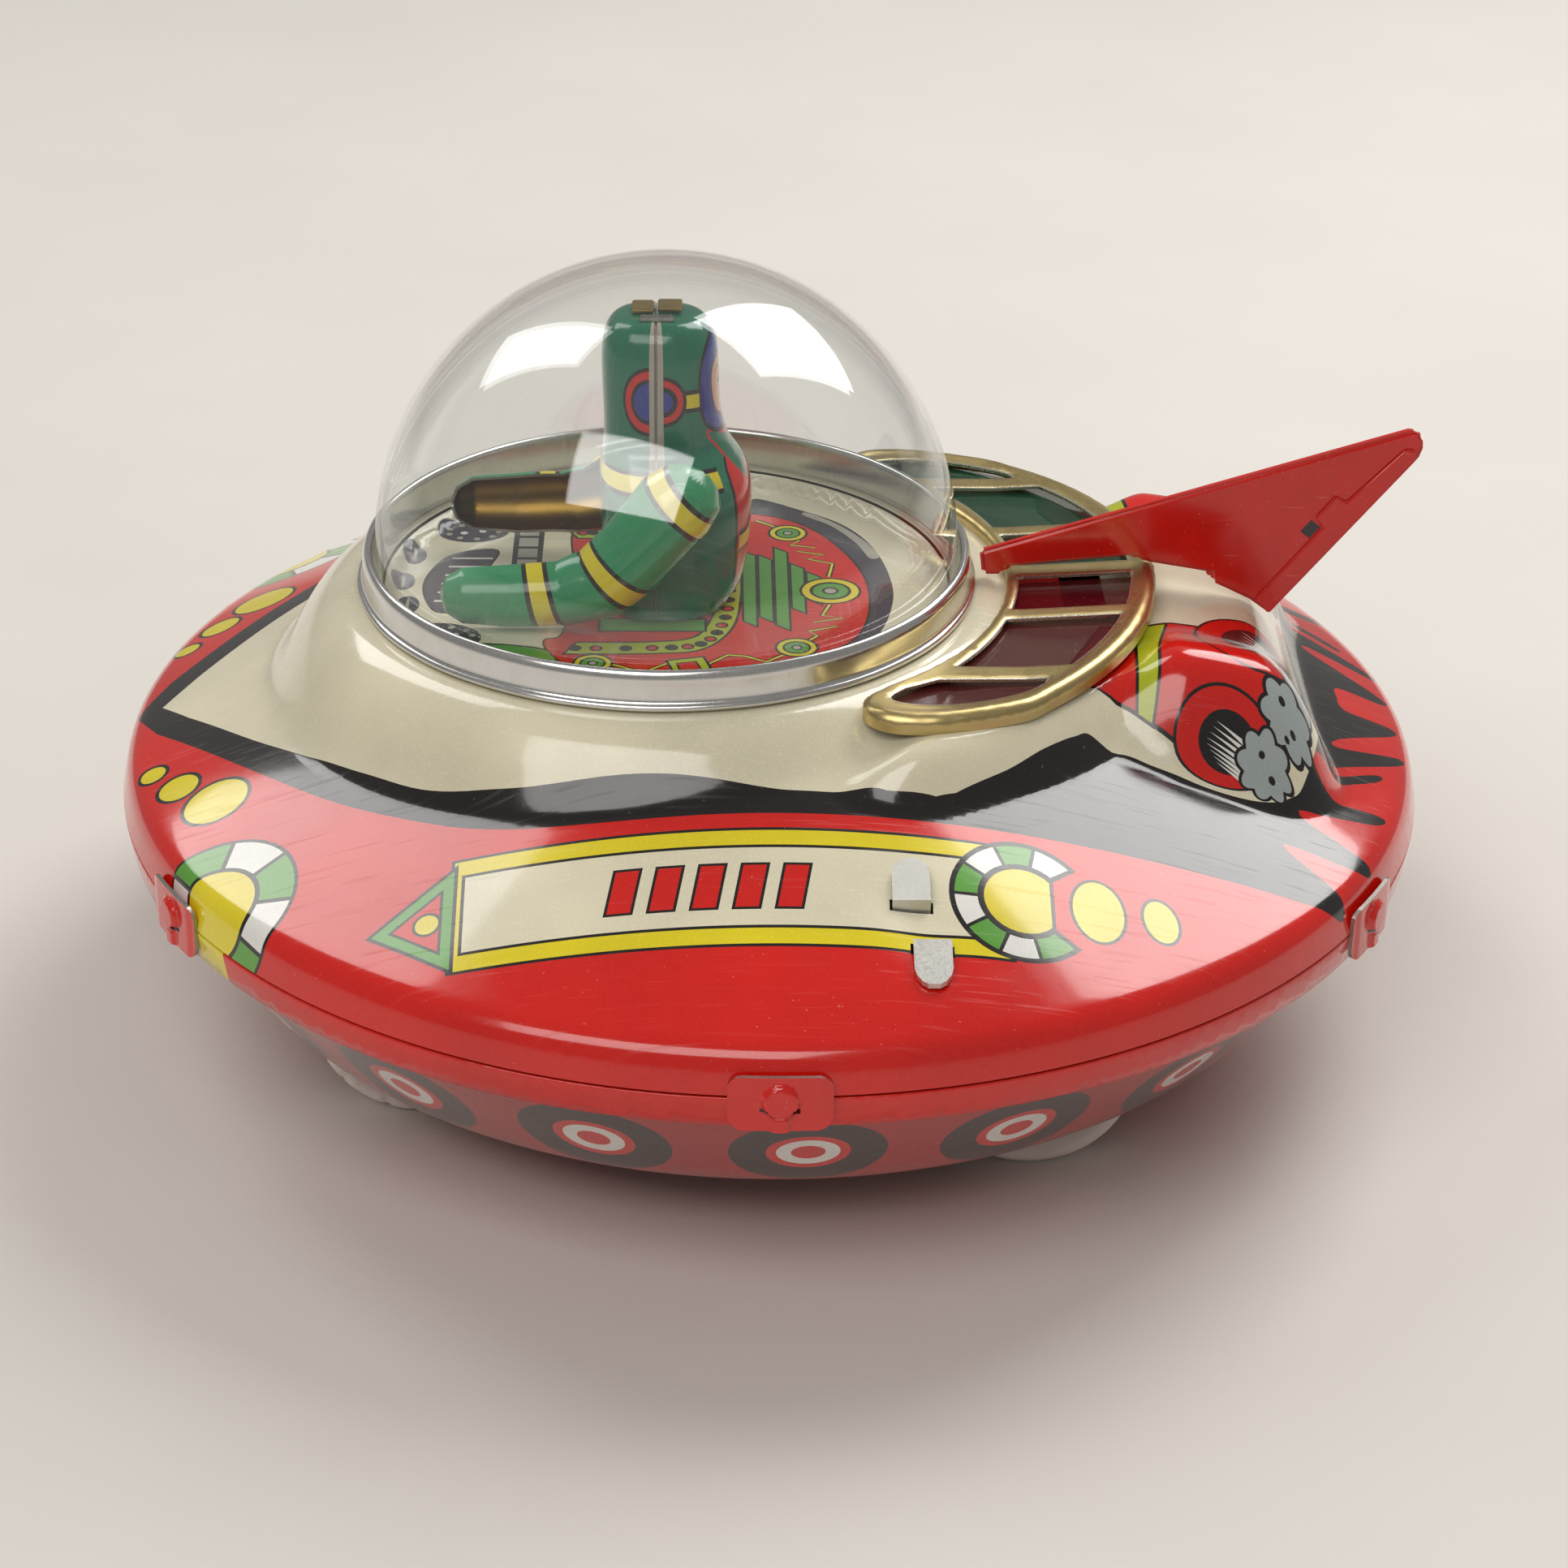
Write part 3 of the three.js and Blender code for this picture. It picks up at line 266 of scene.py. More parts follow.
INKS = {ink: printed_tin(f"ink_{ink}", code, 0.13) for ink, code in {
    "red": "dd1a0f", "cream": "ebe3c6", "black": "1a1513", "yellow": "ecd820", "lime": "b9c31a",
    "green": "5fa53c", "white": "f2f0ea", "smoke": "a9b3b1", "grey": "4c4650",
    "silver": "b9b2a4", "dark_red": "b3120c", "blue": "2b3f9e", "skin": "e8b48e"}.items()}
INKS |= {
    "suit": printed_tin("ink_suit", "17795a", 0.18),
    "arm": printed_tin("ink_arm", "2a9a63", 0.22),
    "gold": metal("gold_lacquer", "cfba82", 0.34, tarnish="94783c"),
    "gold_edge": metal("gold_worn_edge", "f6eed6", 0.25, amount=0.1),
    "bare": metal("bare_tin_edge", "b8b6b0", 0.32),
    "hollow": metal("lacquered_inside", "9a7a38", 0.35, amount=0.5),
}

# ---- flat outlines


def ellipse(x, y, rx, ry=None, turn=0.0, count=40):
    """An ellipse, or a circle where only one radius is given."""
    ry = rx if ry is None else ry
    c, s = math.cos(turn), math.sin(turn)
    points = []
    for i in range(count):
        a = 2 * math.pi * i / count
        u, v = rx * math.cos(a), ry * math.sin(a)
        points.append((x + c * u - s * v, y + s * u + c * v))
    return points


def arc(x, y, r, start, end, count):
    """Points of an arc between two angles in degrees."""
    angles = [math.radians(start + (end - start) * i / count) for i in range(count + 1)]
    return [(x + r * math.cos(a), y + r * math.sin(a)) for a in angles]


def rectangle(x0, y0, x1, y1):
    return [(x0, y0), (x1, y0), (x1, y1), (x0, y1)]


def between(p0, p1, p2, p3, t):
    """The place at t from p1 to p2 on a curve through four points."""
    return 0.5 * ((2 * p1) + (p2 - p0) * t + (2 * p0 - 5 * p1 + 4 * p2 - p3) * t ** 2
                  + (3 * p1 - p0 - 3 * p2 + p3) * t ** 3)


def smooth(points, closed=False, spans=6):
    """A curve through the points, as short straight pieces."""
    count = len(points)
    at = (lambda i: points[i % count]) if closed else (lambda i: points[min(max(i, 0), count - 1)])
    curve = []
    for i in range(count if closed else count - 1):
        nearby = [Vector(at(k)) for k in (i - 1, i, i + 1, i + 2)]
        curve += [tuple(between(*nearby, step / spans)) for step in range(spans)]
    return curve if closed else curve + [tuple(points[-1])]


def loop(points, spans=6):
    return smooth(points, closed=True, spans=spans)


def signed_area(points):
    p = np.array(points)
    q = np.roll(p, -1, axis=0)
    return 0.5 * float(np.sum(p[:, 0] * q[:, 1] - q[:, 0] * p[:, 1]))


def grown(points, width):
    """The outline moved outwards by a width, or inwards by a negative one."""
    p = np.array(points, float)
    ahead, behind = np.roll(p, -1, axis=0) - p, p - np.roll(p, 1, axis=0)

    def outward_of(d):
        d = d / np.maximum(1e-9, np.linalg.norm(d, axis=1))[:, None]
        return np.stack([d[:, 1], -d[:, 0]], axis=1)

    normal = outward_of(ahead) + outward_of(behind)
    length = np.maximum(0.6, np.linalg.norm(normal, axis=1))[:, None]
    side = 1 if signed_area(points) > 0 else -1
    return [tuple(q) for q in p + side * width * 2 * normal / length ** 2]


def densified(points, step):
    """The closed outline with points no further apart than a step."""
    result = []
    for (x0, y0), (x1, y1) in zip(points, points[1:] + points[:1]):
        pieces = max(1, math.ceil(math.hypot(x1 - x0, y1 - y0) / step))
        result += [(x0 + (x1 - x0) * i / pieces, y0 + (y1 - y0) * i / pieces)
                   for i in range(pieces)]
    return result


def inside(points, outline):
    """Whether each point lies within the closed outline."""
    x, y = points[:, 0], points[:, 1]
    result = np.zeros(len(points), bool)
    for (x0, y0), (x1, y1) in zip(outline, outline[1:] + outline[:1]):
        if y0 != y1:
            crosses = (y0 > y) != (y1 > y)
            result ^= crosses & (x < (x1 - x0) * (y - y0) / (y1 - y0) + x0)
    return result


def outlined(points, ink, line=0.45, line_ink="black"):
    """Two prints: a dark line round a shape, and the shape itself."""
    return [(grown(points, line), line_ink), (points, ink)]


def rings(x, y, *sizes):
    """Prints of filled circles about one point, from (radius, ink) pairs, the largest first."""
    return [(ellipse(x, y, r), ink) for r, ink in sizes]


def both_halves(half):
    """A symmetric outline from its half, which starts and ends on the middle line."""
    return half + [(x, -y) for x, y in reversed(half[1:-1])]


def mirrored(prints):
    return [([(x, -y) for x, y in points], ink) for points, ink in prints]


def distance_to(points, outline):
    """Distance from each point to a closed outline, and the nearest place on it."""
    best = np.full(len(points), np.inf)
    nearest = np.zeros((len(points), 2))
    for a, b in zip(outline, outline[1:] + outline[:1]):
        a, b = np.array(a), np.array(b)
        span = b - a
        t = np.clip(((points - a) @ span) / max(1e-12, span @ span), 0, 1)
        place = a + t[:, None] * span
        gap = np.linalg.norm(points - place, axis=1)
        closer = gap < best
        best[closer] = gap[closer]
        nearest[closer] = place[closer]
    return best, nearest


# ---- sheet metal


def placed(name, data):
    """A new object in the scene."""
    piece = bpy.data.objects.new(name, data)
    bpy.context.scene.collection.objects.link(piece)
    return piece


def finish_mesh(name, verts, faces, materials, indices, normals):
    """A mesh object from millimetre points, with a shading normal for every face corner."""
    mesh = bpy.data.meshes.new(name)
    mesh.from_pydata([Vector(v) * MM for v in verts], [], faces)
    for material in materials:
        mesh.materials.append(material)
    mesh.polygons.foreach_set("material_index", indices)
    mesh.polygons.foreach_set("use_smooth", [True] * len(faces))
    mesh.normals_split_custom_set([Vector(n) for n in normals])
    mesh.update()
    return placed(name, mesh)


def sheet(name, boundary, surface, step, thickness, prints=(), holes=(), ground="red",
          back="hollow", edge="bare", reach=0.04, guides=()):
    """Pressed tin: a flat outline with its printed shapes kept as mesh edges, bent onto a surface.

    surface takes arrays u and v and gives an array of points. Later prints lie on earlier ones.
    reach is the half width over which the shading follows the surface, and guides are outlines
    that only place mesh edges, where the surface bends.
    """
    loops = [densified(list(points), step) for points in
             [boundary, *holes, *guides, *[points for points, _ in prints]]]
    coords, edges = [], []
    for loop in loops:
        start = len(coords)
        coords += loop
        edges += [(start + i, start + (i + 1) % len(loop)) for i in range(len(loop))]
    tree = kdtree.KDTree(len(coords))
    for i, (u, v) in enumerate(coords):
        tree.insert((u, v, 0), i)
    tree.balance()
    bounds = np.array(boundary)
    (u0, v0), (u1, v1) = bounds.min(axis=0), bounds.max(axis=0)
    row_height = step * math.sqrt(3) / 2
    grid = [(u0 + step * (i + 0.5 * (j % 2)), v0 + row_height * j)
            for j in range(int((v1 - v0) / row_height) + 1)
            for i in range(int((u1 - u0) / step) + 1)]
    clearance = 0.45 * step
    grid = [p for p in grid if tree.find((*p, 0))[2] > clearance]
    points, _, triangles, *_ = delaunay_2d_cdt(
        [Vector(p) for p in coords + grid], edges, [], 0, 1e-5)
    flat = np.array([tuple(p) for p in points])
    triangles = np.array(triangles)
    centres = flat[triangles].mean(axis=1)
    kept = inside(centres, list(boundary))
    for hole in holes:
        kept &= ~inside(centres, list(hole))
    triangles, centres = triangles[kept], centres[kept]
    inks = [ground]
    colours = np.zeros(len(triangles), int)
    for outline, ink in prints:
        if ink not in inks:
            inks.append(ink)
        colours[inside(centres, list(outline))] = inks.index(ink)
    used, triangles = np.unique(triangles, return_inverse=True)
    triangles = triangles.reshape(-1, 3)
    flat = flat[used]

    u, v = flat[:, 0], flat[:, 1]
    front = surface(u, v)
    along = surface(u + reach, v) - surface(u - reach, v)
    across = surface(u, v + reach) - surface(u, v - reach)
    normal = np.cross(along, across)
    normal /= np.maximum(1e-9, np.linalg.norm(normal, axis=1))[:, None]
    rear = front - normal * thickness

    count = len(front)
    faces = [tuple(int(i) for i in t) for t in triangles]
    directed = {(t[i], t[(i + 1) % 3]) for t in faces for i in range(3)}
    rims = sorted((a, b) for a, b in directed if (b, a) not in directed)
    back_faces = [(c + count, b + count, a + count) for a, b, c in faces]
    rim_faces = [(b, a, a + count, b + count) for a, b in rims]
    for ink in (back, edge):
        if ink not in inks:
            inks.append(ink)
    indices = (colours.tolist() + [inks.index(back)] * len(back_faces)
               + [inks.index(edge)] * len(rim_faces))
    corner_normals = [normal[i] for t in faces for i in t]
    corner_normals += [-normal[i - count] for t in back_faces for i in t]
    both = np.concatenate([front, rear])
    for face in rim_faces:
        a, b, c = (both[i] for i in face[:3])
        out = np.cross(b - a, c - b)
        out /= max(1e-9, np.linalg.norm(out))
        corner_normals += [out] * 4
    return finish_mesh(name, both, faces + back_faces + rim_faces,
                       [INKS[ink] for ink in inks], indices, corner_normals)


def turned(name, profile, centre, axis, material, segments, shape=None, sharp_degrees=32):
    """A closed profile of (radius, along) points turned about the Y or Z line through centre."""
    verts, faces = [], []
    count = len(profile)
    for s in range(segments):
        angle = 2 * math.pi * s / segments
        for r, along in profile:
            if shape:
                r, along = shape(r, along, angle)
            c, d = r * math.cos(angle), r * math.sin(angle)
            offset = {"Z": (c, d, along), "Y": (d, along, c)}[axis]
            verts.append(Vector(centre) + Vector(offset))
        for i in range(count):
            j = (i + 1) % count
            t = (s + 1) % segments
            faces.append((s * count + i, t * count + i, t * count + j, s * count + j))
    return solid(name, verts, faces, material, sharp_degrees)


def solid(name, verts, faces, material, sharp_degrees, bevel=0.0):
    """A closed mesh from millimetre points, with its outside facing out and no doubled points."""
    mesh = bpy.data.meshes.new(name)
    mesh.from_pydata([Vector(v) * MM for v in verts], [], faces)
    work = bmesh.new()
    work.from_mesh(mesh)
    bmesh.ops.remove_doubles(work, verts=work.verts, dist=1e-7)
    bmesh.ops.dissolve_degenerate(work, edges=work.edges, dist=1e-8)
    bmesh.ops.recalc_face_normals(work, faces=work.faces)
    if bevel:
        angle = math.radians(sharp_degrees)
        rims = [e for e in work.edges if e.is_manifold and e.calc_face_angle(0) > angle]
        bmesh.ops.bevel(work, geom=rims, offset=bevel * MM, segments=3, affect="EDGES",
                        clamp_overlap=True)
    work.to_mesh(mesh)
    work.free()
    mesh.materials.append(material)
    mesh.polygons.foreach_set("use_smooth", [len(p.vertices) < 5 for p in mesh.polygons])
    mesh.set_sharp_from_angle(angle=math.radians(sharp_degrees))
    return placed(name, mesh)


def plate(name, outline, low, high, axis, material, bevel):
    """A flat outline, drawn in the other two axes in their order, given thickness along an axis."""
    count = len(outline)
    place = {"X": lambda p, w: (w, p[0], p[1]), "Y": lambda p, w: (p[0], w, p[1]),
             "Z": lambda p, w: (p[0], p[1], w)}[axis]
    verts = [place(p, w) for w in (low, high) for p in outline]
    faces = [tuple(range(count)), tuple(range(2 * count - 1, count - 1, -1))]
    faces += [(i, (i + 1) % count, count + (i + 1) % count, count + i) for i in range(count)]
    return solid(name, verts, faces, material, 30, bevel)


def joined(first, *others):
    """Moves the meshes of the others into the first piece."""
    with bpy.context.temp_override(active_object=first, selected_editable_objects=[first, *others]):
        bpy.ops.object.join()
    return first


def stands_for(piece, body, node):
    """Puts a finished piece in the place of one of the frame's nodes."""
    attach(piece, body)
    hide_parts(node)


# ---- height of the upper shell


def smooth_step(low, high, value):
    t = np.clip((value - low) / (high - low), 0, 1)
    return t * t * (3 - 2 * t)


def smooth_max(a, b, reach):
    return np.maximum(a, b) + reach / 4 * np.maximum(0, 1 - np.abs(a - b) / reach) ** 2


def disc_height(radius):
    """The disc, which rises inwards and flattens a little."""
    inward = BEND_R - radius
    return np.minimum(PLATEAU, BEND_RISE + 0.43 * inward - 0.0012 * inward ** 2)


def ring_hump(x, y):
    """The shoulder that falls away from the dome ring."""
    outside = np.maximum(0, np.hypot(x - DOME_X, y) - RING_R)
    return SHELF_Z - SEAM_Z - 0.11 * outside ** 2


def canopy_hump(x, y):
    """The flat that the canopy lies on."""
    outside = np.maximum(0, np.hypot(x - CANOPY_X, y) - (CANOPY_R - 1.5))
    return PLATEAU - 0.3 * outside ** 2 - 0.04 * np.maximum(0, 20 - x) ** 2


def tail_hump(x, y):
    """The hump behind the canopy, with a rocket pod on each side of the fin."""
    side = np.abs(y)
    crown = PLATEAU + smooth_step(44, 50, x) - 0.0075 * np.maximum(0, x - 42) ** 2
    pod = 2.4 * np.exp(-((side - 23) / 7) ** 2) * smooth_step(41, 50, x)
    side_fall = 0.12 * np.maximum(0, side - POD_CREST) ** 2
    end_fall = 0.115 * np.maximum(0, x - 59) ** 2
    return crown + pod - side_fall - end_fall - 0.05 * np.maximum(0, 20 - x) ** 2


TABS = [(15.2, 61.6), (17.4, 67.4)]     # slits for the fixing tabs, x and distance from the axis


def shell_height(x, y):
    """Height of the shell's top above the floor, with a small dent at each slit."""
    hump = smooth_max(ring_hump(x, y), canopy_hump(x, y), 1)
    hump = smooth_max(hump, tail_hump(x, y), 1)
    height = smooth_max(disc_height(np.hypot(x, y)), hump, 3)
    on_shelf = 1 - smooth_step(RING_R, RING_R + 2, np.hypot(x - DOME_X, y))
    height = height * (1 - on_shelf) + (SHELF_Z - SEAM_Z) * on_shelf
    for tab_x, tab_y in TABS:
        gap2 = (x - tab_x) ** 2 + (np.abs(y) - tab_y) ** 2
        height = height - 0.35 * np.exp(-gap2 / 14)
    return SEAM_Z + height


def bend_profile():
    """Radius and height along the rim, from the top's edge over the bend to the joint."""
    p0, p3 = Vector((BEND_R, BEND_RISE)), Vector((82.4, 2.9))
    p1, p2 = p0 + Vector((1.5, -0.65)), p3 + Vector((-0.35, 1.55))
    curve = []
    for i in range(61):
        t = i / 60
        curve.append((1 - t) ** 3 * p0 + 3 * (1 - t) ** 2 * t * p1 + 3 * (1 - t) * t ** 2 * p2
                     + t ** 3 * p3)
    curve.append(Vector((SEAM_R, 0.15)))
    lengths = np.cumsum([0] + [(b - a).length for a, b in zip(curve, curve[1:])])
    return lengths, np.array([p.x for p in curve]), np.array([p.y for p in curve])


SKIRT_S, SKIRT_R, SKIRT_Z = bend_profile()
RIM_R = BEND_R + float(SKIRT_S[-1])     # the shell's radius when its skirt is laid flat


def upper_surface(u, v):
    """The shell's outside, from the plan of the shell with its skirt laid flat."""
    flat_r = np.maximum(1e-6, np.hypot(u, v))
    over = np.maximum(0, flat_r - BEND_R)
    r = np.where(over > 0, np.interp(over, SKIRT_S, SKIRT_R), flat_r)
    x, y = u * r / flat_r, v * r / flat_r
    skirt_z = SEAM_Z + np.interp(over, SKIRT_S, SKIRT_Z)
    return np.stack([x, y, np.where(over > 0, skirt_z, shell_height(x, y))], axis=1)


# ---- artwork of the upper shell


def field_edges():
    """The black stripe with its flames, and the cream field inside it. Both are symmetric."""
    stripe = smooth([(-78, -7.5), (-65.2, -23.5), (-54.1, -35.4), (-43.8, -42.9),
                     (-34, -47.4), (-22, -49.1), (0, -49.3), (30, -49.3), (58, -49.3)])
    flames = smooth([(58, -49.3), (66.8, -49.3), (69, -47.5), (61.5, -41), (62.5, -39.8),
                     (71, -40.6), (72.2, -38.6), (64.4, -33.9), (65.2, -32.3), (74, -29.8),
                     (74.8, -27.6), (66.6, -28.4), (66.6, -26.6), (75.4, -19.9), (75.8, -18),
                     (69.2, -22.6), (69.4, -20.6), (79.4, -13.4), (79.6, -11.4), (71.4, -14.6),
                     (71.6, -12.4), (79.8, -5.6), (79.8, -3.4), (73.8, -3.2), (73.2, 0)],
                    spans=5)
    beside_dome = smooth([
        (-74, -6.2), (-64.6, -18), (-56.4, -26.5), (-49.7, -33.4), (-42.1, -39.5),
        (-34, -43), (-24.5, -45), (-8, -45.6), (8.8, -46.1), (13.5, -46.8), (18.6, -46.5)])
    round_tail = smooth([
        (21, -45.6), (27.2, -41.8), (32.1, -37.8), (35.7, -34.7), (38, -32.9), (42.1, -32.1),
        (45.9, -32.8), (51.5, -33.8), (56.3, -34), (60.2, -33.6), (62.7, -32.5), (64.4, -30.9),
        (66.4, -26.4), (67.4, -20), (67.4, -10), (67, 0)])
    return [(both_halves([(-81.9, 0)] + stripe + flames), "black"),
            (both_halves([(-78.3, 0)] + beside_dome + round_tail), "cream")]


def nose_lights():
    """Three yellow ovals and a ringed lamp on one side of the nose."""
    prints = []
    for x, y, long, short in [(-68.1, -28.9, 4.0, 3.9), (-73.4, -23.1, 2.6, 2.4),
                              (-77.3, -17.9, 1.7, 1.6)]:
        prints += outlined(ellipse(x, y, long, short, math.radians(-50)), "yellow", 0.5)
    x, y = -67.2, -48.8
    prints += [(ellipse(x, y, 11), "black")]
    for i in range(8):
        start = -12.5 + 45 * i
        segment = arc(x, y, 10.5, start + 1.6, start + 43.4, 8) + arc(
            x, y, 6.4, start + 42.2, start + 2.8, 6)
        prints.append((segment, "green" if i % 2 == 0 else "white"))
    return prints + [(ellipse(x, y, 5.8), "yellow")]


def banner():
    """A cream panel between yellow bands, with a pointed end, a ringed lamp and two ovals."""
    left, right, top, bottom = -37.5, 27.0, -51.8, -67.6
    band, line = 2.1, 0.4
    prints = [
        (rectangle(left - line, bottom - line, right, top + line), "black"),
        (rectangle(left, bottom, right, top), "yellow"),
        (rectangle(left + 0.9, bottom + band, right, top - band), "black"),
        (rectangle(left + 0.9 + line, bottom + band + line, right, top - band - line), "cream")]
    triangle = [(left, bottom + 0.4), (left, top - 1.2), (-46.8, (top + bottom) / 2 - 0.8)]
    prints += [(grown(triangle, 0.45), "black"), (triangle, "green"),
               (grown(triangle, -1.15), "black"), (grown(triangle, -1.5), "red")]
    prints += outlined(ellipse(-40.4, -60.2, 1.35), "yellow", 0.35)
    for i in range(5):
        x, y = -18 + 4.9 * i, -59.7
        dash = [(x - 1.7, y - 2.9), (x + 1, y - 2.9), (x + 2, y + 2.9), (x - 0.7, y + 2.9)]
        prints += outlined(dash, "red", 0.35)
    x, y, outer, inner = 28.2, -59.2, 8.2, 4.7
    open_to = 44
    c_shape = arc(x, y, outer, open_to, 360 - open_to, 40) + arc(x, y, inner, 312, 48, 24)
    prints += [(grown(c_shape, 0.4), "black"),
               (grown(arc(x, y, inner, 45, 315, 24), 0.35), "black")]
    step = (360 - 2 * open_to) / 8
    for i in range(8):
        start = open_to + step * i
        tip = 3.5 if i == 0 else 0
        tail = 3.5 if i == 7 else 0
        segment = arc(x, y, outer - 0.25, start + 1.5, start + step - 1.5, 8) + arc(
            x, y, inner + 0.6, start + step - 2.5 - tail, start + 2.5 + tip, 6)
        prints.append((segment, "white" if i % 2 == 0 else "green"))
    prints.append((arc(x, y, inner - 0.15, 45, 315, 24), "yellow"))
    prints += outlined(ellipse(37.0, -58.9, 3.0, 4.3), "yellow", 0.4)
    prints += outlined(ellipse(44.4, -58.5, 2.0, 3.0, 0.1), "yellow", 0.4)
    return prints


def down_pod(points):
    """Plan points of a shape drawn by x and by length along the tin from the pod's crest."""
    result = []
    for x, s in points:
        t = s
        if s > 0:
            for _ in range(8):
                k = 0.24 * t
                length = t * math.sqrt(1 + k * k) / 2 + math.asinh(k) / 0.48
                t -= (length - s) / math.sqrt(1 + k * k)
        result.append((x, -(POD_CREST + t)))
    return result


def cloud(x, s, rx, rs, bumps, phase):
    """The outline of a puff of smoke."""
    points = []
    for i in range(bumps * 8):
        a = 2 * math.pi * i / (bumps * 8)
        puff = 0.78 + 0.27 * abs(math.sin(bumps * a / 2 + phase))
        points.append((x + rx * puff * math.cos(a), s + rs * puff * math.sin(a)))
    return points


def pod():
    """A red rocket pod with a lime band, two nozzles and their smoke, on the -Y side."""
    shapes = []

    def add(points, ink):
        shapes.append((down_pod(points), ink))

    def add_outlined(points, ink, line):
        add(grown(points, line), "black")
        add(points, ink)

    body = [(36, 6.2), (38.5, 4.6), (40.7, 4.4), (43, 5.8), (46, 8.2), (48.7, 10.8), (54, 12),
            (61, 8), (62.5, 0), (61, -10), (54, -11.6), (41, -11.6), (36, 0)]
    add_outlined(body, "red", 0.5)
    band = smooth([(45.6, -11.5), (44.8, -6), (44.2, 2.4), (44.0, 6.7)]) + smooth(
        [(45.6, 8.1), (46.4, 2.9), (47, -3.5), (48.7, -11.5)])
    add_outlined(band, "lime", 0.4)
    for x, s, rx, rs in [(59.6, -7.4, 7.3, 8.9), (54.4, 10.2, 5.9, 5.9)]:
        add(ellipse(x, s, rx + 0.4, rs + 0.4), "black")
        add(ellipse(x, s, rx, rs), "red")
    add(ellipse(60.4, -8.4, 4.9, 5.6), "black")
    add(ellipse(54.8, 10.4, 3.6, 3.7), "black")
    for i in range(8):
        spread = i / 7 - 0.5
        add([(52 + 2.8 * abs(spread), 10.4 + 4.6 * spread), (58.6, 13 + 4.6 * spread),
             (58.2, 13.7 + 4.6 * spread)], "white")
        add([(57.6 + 2 * abs(spread), -9 + 8 * spread), (63.8, -3 + 7 * spread),
             (63.2, -2.3 + 7 * spread)], "white")
    trail = loop([(61.4, -9.5), (63.6, -9), (64.8, -3), (65.6, 2.2), (63.8, 4), (62.2, 0),
                  (61.8, -5)], spans=4)
    add_outlined(trail, "smoke", 0.3)
    add_outlined(cloud(62.3, 5.2, 3.3, 3.9, 7, 0.4), "smoke", 0.45)
    add_outlined(cloud(59.4, 12.2, 3.3, 4.2, 8, 1.1), "smoke", 0.4)
    for x, s, r in [(61.6, 3.9, 0.45), (63, 6.4, 0.4), (62.2, 7.6, 0.35), (59, 10.9, 0.4),
                    (60.3, 13.4, 0.45)]:
        add(ellipse(x, s, r, r * 1.2, count=12), "black")
    return shapes


def upper_shell():
    near = nose_lights() + banner() + pod()
    prints = field_edges() + near + mirrored(near)
    slits = [rectangle(x - 2.5, side * y - 0.75, x + 2.5, side * y + 0.75)
             for x, y in TABS for side in (-1, 1)]
    well = rectangle(30.4, -9, 42, 9)     # opening over the spark wheel
    hole = ellipse(DOME_X, 0, HOLE_R, count=120)
    bends = [ellipse(0, 0, BEND_R + over, count=360) for over in (-0.6, 0, 0.6, 1.2, 1.9, 2.7, 3.6)]
    piece = sheet("printed_upper_shell", ellipse(0, 0, RIM_R, count=360), upper_surface, 0.95,
                  SHELL_TIN, prints, [hole, well, *slits], reach=1.1, guides=bends)
    stands_for(piece, "hull", "upper_shell")


# ---- lower shell

BOWL = [(0, -30.3), (48, -30.3), (51.5, -29.9), (55.5, -28.8), (60, -26), (66, -22.1),
        (69.3, -19.8), (71.5, -17.4), (80.3, -5.3), (80.6, -4.9), (81.2, -4.55), (82.1, -4.3),
        (82.4, -4.1), (83, -0.35), (82.9, -0.22), (82.5, -0.2)]


def bowl_profile():
    """Length along the bowl from its middle, with the radius and height there."""
    fine = [BOWL[0]] + smooth(BOWL[1:8], spans=8) + BOWL[8:]
    r, z = np.array(fine).T
    return np.concatenate([[0], np.cumsum(np.hypot(np.diff(r), np.diff(z)))]), r, z


BOWL_S, BOWL_R, BOWL_Z = bowl_profile()


def lower_surface(u, v):
    """The bowl's outside, from the bowl laid flat and mirrored, so that its front faces out."""
    flat_r = np.maximum(1e-6, np.hypot(u, v))
    r = np.interp(flat_r, BOWL_S, BOWL_R)
    z = SEAM_Z + np.interp(flat_r, BOWL_S, BOWL_Z)
    return np.stack([u * r / flat_r, -v * r / flat_r, z], axis=1)


def unrolled(points):
    """Plan points of the bowl moved to where they lie when the bowl is laid flat."""
    result = []
    for x, y in points:
        r = max(1e-6, math.hypot(x, y))
        flat = float(np.interp(r, BOWL_R[:60], BOWL_S[:60]))
        result.append((x * flat / r, -y * flat / r))
    return result


def bowl_length(height):
    """Length along the bowl at a height, which is measured from the joint."""
    return float(np.interp(height, BOWL_Z[1:], BOWL_S[1:]))


